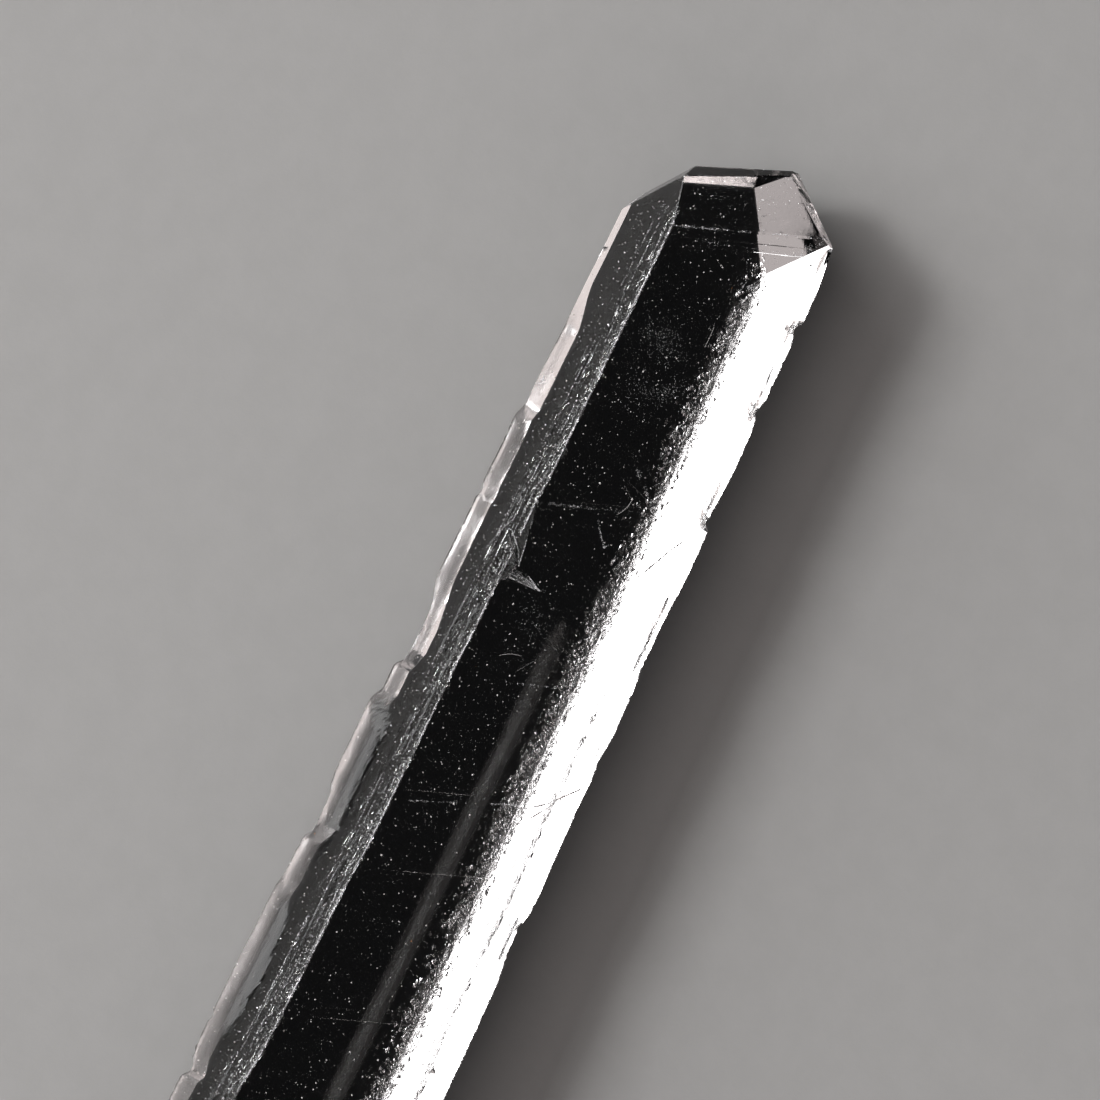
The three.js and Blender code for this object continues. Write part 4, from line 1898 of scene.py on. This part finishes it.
@dataclass
class SurfaceDust:
    """Dust, crumbs along the worn edges and a few fibres, on the faces that look up."""

    form: GrowthForm
    grains: int = 5800  # how many fall over the model's box; most land on the crystal
    grain_sizes: Span = (0.009, 0.04)
    rusty: int = 16  # how many of them are rusty
    edge_crumbs: int = 4200
    edge_run: Span = (3.0, 39.6)
    edge_largest: float = 0.032
    strands: int = 9
    strand_crumbs: int = 480
    strand_run: Span = (3.2, 39.0)
    strand_reach: Span = (0.03, 0.65)
    side_crumbs: int = 2600
    side_run: Span = (2.6, 39.6)
    side_reach: float = 1.1
    crumb_smallest: float = 0.01
    # each grain's shape: its width and its height against its length, and how uneven its corners are
    widths: Span = (0.55, 1.0)
    heights: Span = (0.45, 0.9)
    uneven: Span = (0.75, 1.25)
    sunk: float = 0.3
    steepest: float = 0.25  # how far a face that holds a grain looks up: 1 is level
    fibres: int = 5
    fibre_radius: float = 0.004
    fibre_lengths: Span = (0.35, 0.9)
    fibre_bends: Span = (-1.2, 1.2)
    fibre_places: Span = (-1.0, 2.2)
    fibre_points: int = 14
    fibre_sides: int = 6
    lines: tuple[CrumbLine, ...] = (
        CrumbLine(((3.13, -0.94), (1.3, 3.87)), 300, 0.02),
        CrumbLine(((3.3, -0.3), (2.0, 3.7)), 110, 0.03, 0.013),
        CrumbLine(((3.13, -0.94), (1.58, -1.29), (0.28, 1.68)), 170, 0.015, 0.016),
        CrumbLine(((12.33, -0.96), (14.36, -0.627)), 130, 0.008),
        CrumbLine(((14.36, -0.627), (13.9, -0.85), (13.45, -1.3), (13.5, -1.6)), 130, 0.012, 0.024),
        CrumbLine(((12.6, -1.0), (13.3, -1.5), (14.3, -1.75)), 120, 0.02),
        CrumbLine(((14.76, -0.74), (14.76, 0.3)), 110, 0.006, 0.02),
        CrumbLine(((14.66, -0.66), (14.73, 0.28)), 90, 0.006, 0.017),
        CrumbLine(((14.58, -0.6), (14.6, -0.2), (14.74, 0.26)), 90, 0.006, 0.016),
        CrumbLine(((14.49, -0.54), (14.5, -0.22), (14.74, 0.24)), 110, 0.006, 0.02),
        CrumbLine(((14.62, -0.7), (14.66, 0.0)), 120, 0.07, 0.016),
        CrumbLine(((1.9, -0.6), (0.95, 1.9)), 120, 0.3, 0.014),
        CrumbLine(((1.5, 3.4), (2.3, 2.8)), 80, 0.08, 0.016),
        CrumbLine(((1.7, 3.6), (1.93, 3.82)), 90, 0.03, 0.024),
        CrumbLine(((6.1, -0.1), (6.6, 0.9)), 220, 0.28, 0.012),
        CrumbLine(((7.4, -0.2), (8.2, 0.5)), 150, 0.3, 0.012),
        CrumbLine(((15.2, 0.2), (16.4, 0.9)), 160, 0.35, 0.012),
        CrumbLine(((20.4, 0.1), (21.6, 1.4)), 160, 0.35, 0.012),
        CrumbLine(((22.1, -0.5), (20.8, 2.5)), 130, 0.015, 0.017),
        CrumbLine(((12.27, -0.64), (11.5, 1.5)), 110, 0.025, 0.016),
        CrumbLine(((17.9, -0.2), (17.1, 2.1)), 70, 0.02, 0.015),
        CrumbLine(((11.8, 0.77), (12.2, 1.0), (12.74, 1.43), (12.6, 1.5)), 70, 0.014, 0.018),
        CrumbLine(((4.26, 1.72), (3.55, 1.8)), 50, 0.01, 0.016),
        CrumbLine(((3.85, 1.9), (3.7, 2.05)), 50, 0.05, 0.024),
        CrumbLine(((8.88, -2.46), (9.12, -2.48)), 36, 0.04, 0.04),
        CrumbLine(((10.2, 1.3), (11.0, 2.2)), 60, 0.03, 0.02),
        CrumbLine(((7.9, 0.9), (7.3, 1.6)), 90, 0.16, 0.015),
    )
    finishes: tuple[GrainyFinish, ...] = (
        GrainyFinish("pale_dust", pale=(0.82, 0.8, 0.78), dark=(0.55, 0.5, 0.46), roughness=0.85),
        GrainyFinish("rusty_dust", pale=(0.75, 0.32, 0.1), dark=(0.5, 0.2, 0.06), roughness=0.85),
        GrainyFinish("fresh_crumbs", (0.95, 0.95, 0.97), (0.9, 0.88, 0.9), 0.25, shine=1.0, glint=0.6),
    )
    seed: int = 131

    def edge_places(self, random: np.random.Generator, grain: Grain) -> Array:
        """Draw places along the front left edge and the growth lines beside it.

        Args:
            random: The source of chance.
            grain: Where the crumbs gather.

        Returns:
            Places behind the tip and across, one row each.
        """
        form = self.form
        x = random.uniform(*self.edge_run, self.edge_crumbs * 3)
        x = thinned(x, grain.along(x / 0.5, 3.3, 3), (0.2, 0.7), random)[: self.edge_crumbs]
        found = [np.stack([x, form.left(x) + random.normal(-0.004, 0.01, len(x))], axis=1)]
        for strand in range(self.strands):
            away = within(self.strand_reach, spread(strand, 0.05) ** 1.3)
            x = random.uniform(*self.strand_run, self.strand_crumbs * 4)
            thick = grain.along(x / 1.6 + 31 * strand, 5.1 * strand, 3)
            x = thinned(x, thick, (0.45, 0.68), random)[: self.strand_crumbs]
            sway = 0.05 * (grain.along(x / 5.0, 2.9 * strand) - 0.5)
            y = form.left(x) - away - sway + random.normal(0.0, 0.007, len(x))
            found.append(np.stack([x, y], axis=1))
        x = random.uniform(*self.side_run, self.side_crumbs)
        y = form.left(x) - self.side_reach * random.random(self.side_crumbs) ** 2.2
        return np.concatenate([*found, np.stack([x, y], axis=1)])

    def build(self, crystal: Object) -> Object:
        """Scatter the dust and the crumbs on the crystal.

        Args:
            crystal: The finished crystal, in metres.

        Returns:
            All the dust in one mesh.
        """
        random, grain = np.random.default_rng(self.seed), Grain(self.seed)
        mesh = crystal.data
        tree = BVHTree.FromPolygons([v.co for v in mesh.vertices], [p.vertices[:] for p in mesh.polygons])
        low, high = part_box(NODE)
        shift = growth_to_model()[:2]
        spots = random.random((self.grains, 2)) * (high[0] - low[0], high[1] - low[1]) + (low[0], low[1])
        sizes = within(self.grain_sizes, random.random(len(spots)) ** 5.0)
        kinds = np.full(len(spots), DustKind.PALE.value)
        kinds[: self.rusty] = DustKind.RUSTY.value
        batches = [(spots, sizes, kinds)]
        crumbs = [(self.edge_places(random, grain), self.edge_largest)]
        crumbs = [*crumbs, *((line.places(random, grain), line.largest) for line in self.lines)]
        for places, largest in crumbs:
            sizes = within((self.crumb_smallest, largest), random.random(len(places)) ** 1.8)
            batches.append(((places + shift) * MM, sizes, np.full(len(places), DustKind.CRUMB.value)))
        data = self.grains_mesh(tree, high[2], *(np.concatenate(part) for part in zip(*batches)), random)
        dust = bmesh.new()
        dust.from_mesh(data)
        for _ in range(self.fibres):
            self.fibre(dust, tree, random, low, high)
        dust.to_mesh(data)
        dust.free()
        return in_scene("surface_dust", data)

    def grains_mesh(
        self, tree: BVHTree, top: float, spots: Array, sizes: Array, kinds: Array,
        random: np.random.Generator,
    ) -> Mesh:
        """Drop small uneven grains on the crystal.

        Args:
            tree: The crystal's surface.
            top: The height of the crystal's top.
            spots: Where the grains fall, from above, in metres.
            sizes: The grains' half-lengths in millimetres.
            kinds: Each grain's material number.
            random: The source of chance.

        Returns:
            The grains in one mesh.
        """
        shape = np.array([(1, 0, 0), (-1, 0, 0), (0, 1, 0), (0, -1, 0), (0, 0, 1), (0, 0, -1)], dtype=float)
        sides = [(0, 2, 4), (2, 1, 4), (1, 3, 4), (3, 0, 4), (2, 0, 5), (1, 2, 5), (3, 1, 5), (0, 3, 5)]
        points, faces, materials = [], [], []
        for (x, y), size, kind in zip(spots, sizes * MM, kinds):
            hit, normal, _, _ = tree.ray_cast(Vector((x, y, top + 5 * MM)), Vector((0, 0, -1)))
            if hit is None or normal.z < self.steepest:
                continue
            turn = np.array(Euler(random.uniform(0, FULL_TURN, 3)).to_matrix())
            corners = shape * (1.0, random.uniform(*self.widths), random.uniform(*self.heights))
            corners = (corners * random.uniform(*self.uneven, (len(shape), 1))) @ turn.T
            faces.append(np.array(sides) + len(shape) * len(points))
            points.append(corners * size + np.array(hit + normal * (self.sunk * size)))
            materials.append(np.full(len(sides), kind))
        mesh = bpy.data.meshes.new("surface_dust")
        mesh.from_pydata(np.concatenate(points).tolist(), [], np.concatenate(faces).tolist())
        mesh.polygons.foreach_set("material_index", np.concatenate(materials).astype(np.int32))
        mesh.update()
        return mesh

    def fibre(
        self, dust: bmesh.types.BMesh, tree: BVHTree, random: np.random.Generator, low: Vector, high: Vector
    ) -> None:
        """Lay one curled fibre on the front face.

        Args:
            dust: The mesh that the fibre is added to.
            tree: The crystal's surface.
            random: The source of chance.
            low: The lowest corner of the crystal's box.
            high: The highest corner of the crystal's box.
        """
        across = random.uniform(low[0] * 0.75, high[0] * 0.8), random.uniform(*self.fibre_places) * MM
        at = Vector((*across, 0.0))
        heading, bend = random.uniform(0, FULL_TURN), random.uniform(*self.fibre_bends)
        count, length = self.fibre_points, random.uniform(*self.fibre_lengths) * MM
        radius, rings, sides = self.fibre_radius * MM, [], self.fibre_sides
        for i in range(count):
            angle = heading + bend * i / count
            way = Vector((math.cos(angle), math.sin(angle), 0.0))
            at = at + way * (length / count)
            hit, _, _, _ = tree.ray_cast(Vector((at.x, at.y, high[2] + 5 * MM)), Vector((0, 0, -1)))
            if hit is None:
                return
            side = way.cross(Vector((0, 0, 1)))
            middle = Vector((at.x, at.y, hit.z + radius * 0.8))
            rings.append([
                dust.verts.new(middle + radius * (side * math.cos(t) + Vector((0, 0, math.sin(t)))))
                for t in (k * math.tau / sides for k in range(sides))
            ])
        for a, b in zip(rings, rings[1:]):
            for k in range(sides):
                dust.faces.new((a[k], a[(k + 1) % sides], b[(k + 1) % sides], b[k]))
        dust.faces.new(rings[0][::-1])
        dust.faces.new(rings[-1])

    def dress(self, dust: Object) -> None:
        """Give the dust its finishes and its place in the model.

        Args:
            dust: The dust.
        """
        for finish in self.finishes:
            dust.data.materials.append(finish.make())
        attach(dust, BODY)


# ---------------------------------------------------------------- floor, light and camera


@dataclass(frozen=True)
class SoftBox:
    """A plain rectangular light: its bearing and height as seen from the crystal, size and strength."""

    name: str
    bearing: float
    elevation: float
    distance: float
    width: float
    height: float
    radiance: float
    colour: Triple = (1.0, 1.0, 1.0)

    def build(self) -> Object:
        """Make the light.

        Returns:
            The light, turned to the crystal.
        """
        light = bpy.data.lights.new(self.name, "AREA")
        light.shape, light.size, light.size_y = "RECTANGLE", self.width, self.height
        light.energy = self.radiance * math.pi * self.width * self.height
        light.color = self.colour
        bearing, elevation = math.radians(self.bearing), math.radians(self.elevation)
        level = math.cos(elevation)
        way = Vector((level * math.cos(bearing), level * math.sin(bearing), math.sin(elevation)))
        made = in_scene(self.name, light)
        made.location = way * self.distance
        made.rotation_euler = (-way).to_track_quat("-Z", "Y").to_euler()
        made.visible_camera = False
        return made


@dataclass
class Studio:
    """The pale floor, the soft lights and the camera that looks down on the crystal."""

    floor_half: float = 1.6
    floor_gap: float = 2e-5
    surround: Triple = (0.9, 0.9, 0.95)
    surround_strength: float = 0.05
    lights: tuple[SoftBox, ...] = (
        SoftBox("key_left", -90.0, 37.0, 0.5, 0.13, 0.13, 20.0),
        SoftBox("wide_left", -90.0, 27.0, 0.5, 0.62, 0.42, 2.7),
        SoftBox("high_left", -86.0, 70.0, 0.5, 0.38, 0.3, 0.9, (1.0, 0.91, 0.88)),
        SoftBox("end_wall", 5.0, 24.0, 0.6, 1.7, 0.56, 0.5, (1.0, 0.92, 0.9)),
        SoftBox("end_low", 23.0, 10.0, 0.5, 0.16, 0.15, 3.2, (1.0, 0.92, 0.9)),
    )
    frame_width: float = 33.0
    distance: float = 185.3
    sensor: float = 36.0
    clip: Span = (MM, 10.0)
    aim_behind_tip: float = 13.5
    screen_right: Triple = (-0.4368, 0.8996, 0.0)
    screen_up: Triple = (-0.8996, -0.4368, 0.0)
    card: GrainyFinish = GrainyFinish(
        "studio_card", pale=(0.46, 0.456, 0.45), dark=(0.445, 0.441, 0.435), roughness=0.9, rougher=0.05,
        shine=0.15, patches=(0.8, 0.3, 0.7), relief_cells=3.0, relief=8e-6,
    )

    def camera(self, form: GrowthForm) -> Object:
        """Make the camera, straight above the crystal.

        Args:
            form: The crystal's sizes.

        Returns:
            The camera.
        """
        data = bpy.data.cameras.new("camera")
        data.sensor_width = self.sensor
        data.lens = self.sensor * self.distance / self.frame_width
        data.clip_start, data.clip_end = self.clip
        aim = (np.array([self.aim_behind_tip, 0.0, form.thickness]) + growth_to_model()) * MM
        turn = Matrix((self.screen_right, self.screen_up, (0.0, 0.0, 1.0))).transposed().to_4x4()
        turn.translation = Vector(aim) + Vector((0, 0, self.distance * MM))
        made = in_scene("camera", data)
        made.matrix_world = turn
        bpy.context.scene.camera = made
        return made

    def floor(self) -> Object:
        """Make the floor.

        Returns:
            The floor.
        """
        half, z = self.floor_half, -self.floor_gap
        corners = np.array([(-half, -half, z), (half, -half, z), (half, half, z), (-half, half, z)])
        made = mesh_object("studio_floor", corners, [(0, 1, 2, 3)])
        made.data.materials.append(self.card.make())
        return made

    def build(self, form: GrowthForm) -> None:
        """Make the camera, the floor, the lights and the dim surround.

        Args:
            form: The crystal's sizes.
        """
        self.camera(form)
        self.floor()
        for light in self.lights:
            light.build()
        world = bpy.data.worlds.new("surround")
        world.use_nodes = True
        back = world.node_tree.nodes["Background"]
        back.inputs["Color"].default_value = (*self.surround, 1.0)
        back.inputs["Strength"].default_value = self.surround_strength
        scene = bpy.context.scene
        scene.world = world
        scene.view_settings.view_transform = "Standard"
        scene.cycles.caustics_refractive = False
        scene.cycles.caustics_reflective = False


def main() -> None:
    """Build the studio, the crystal and its dust, and report each piece."""
    logging.basicConfig(level=logging.INFO, format="%(message)s")
    body = CrystalBody()
    Studio().build(body.form)
    crystal = body.build()
    body.dress(crystal)
    log.info("%s: %d triangles", crystal.name, len(crystal.data.polygons))
    dust_cloud = SurfaceDust(body.form)
    dust = dust_cloud.build(crystal)
    dust_cloud.dress(dust)
    log.info("%s: %d faces", dust.name, len(dust.data.polygons))


if __name__ == "__main__":
    main()
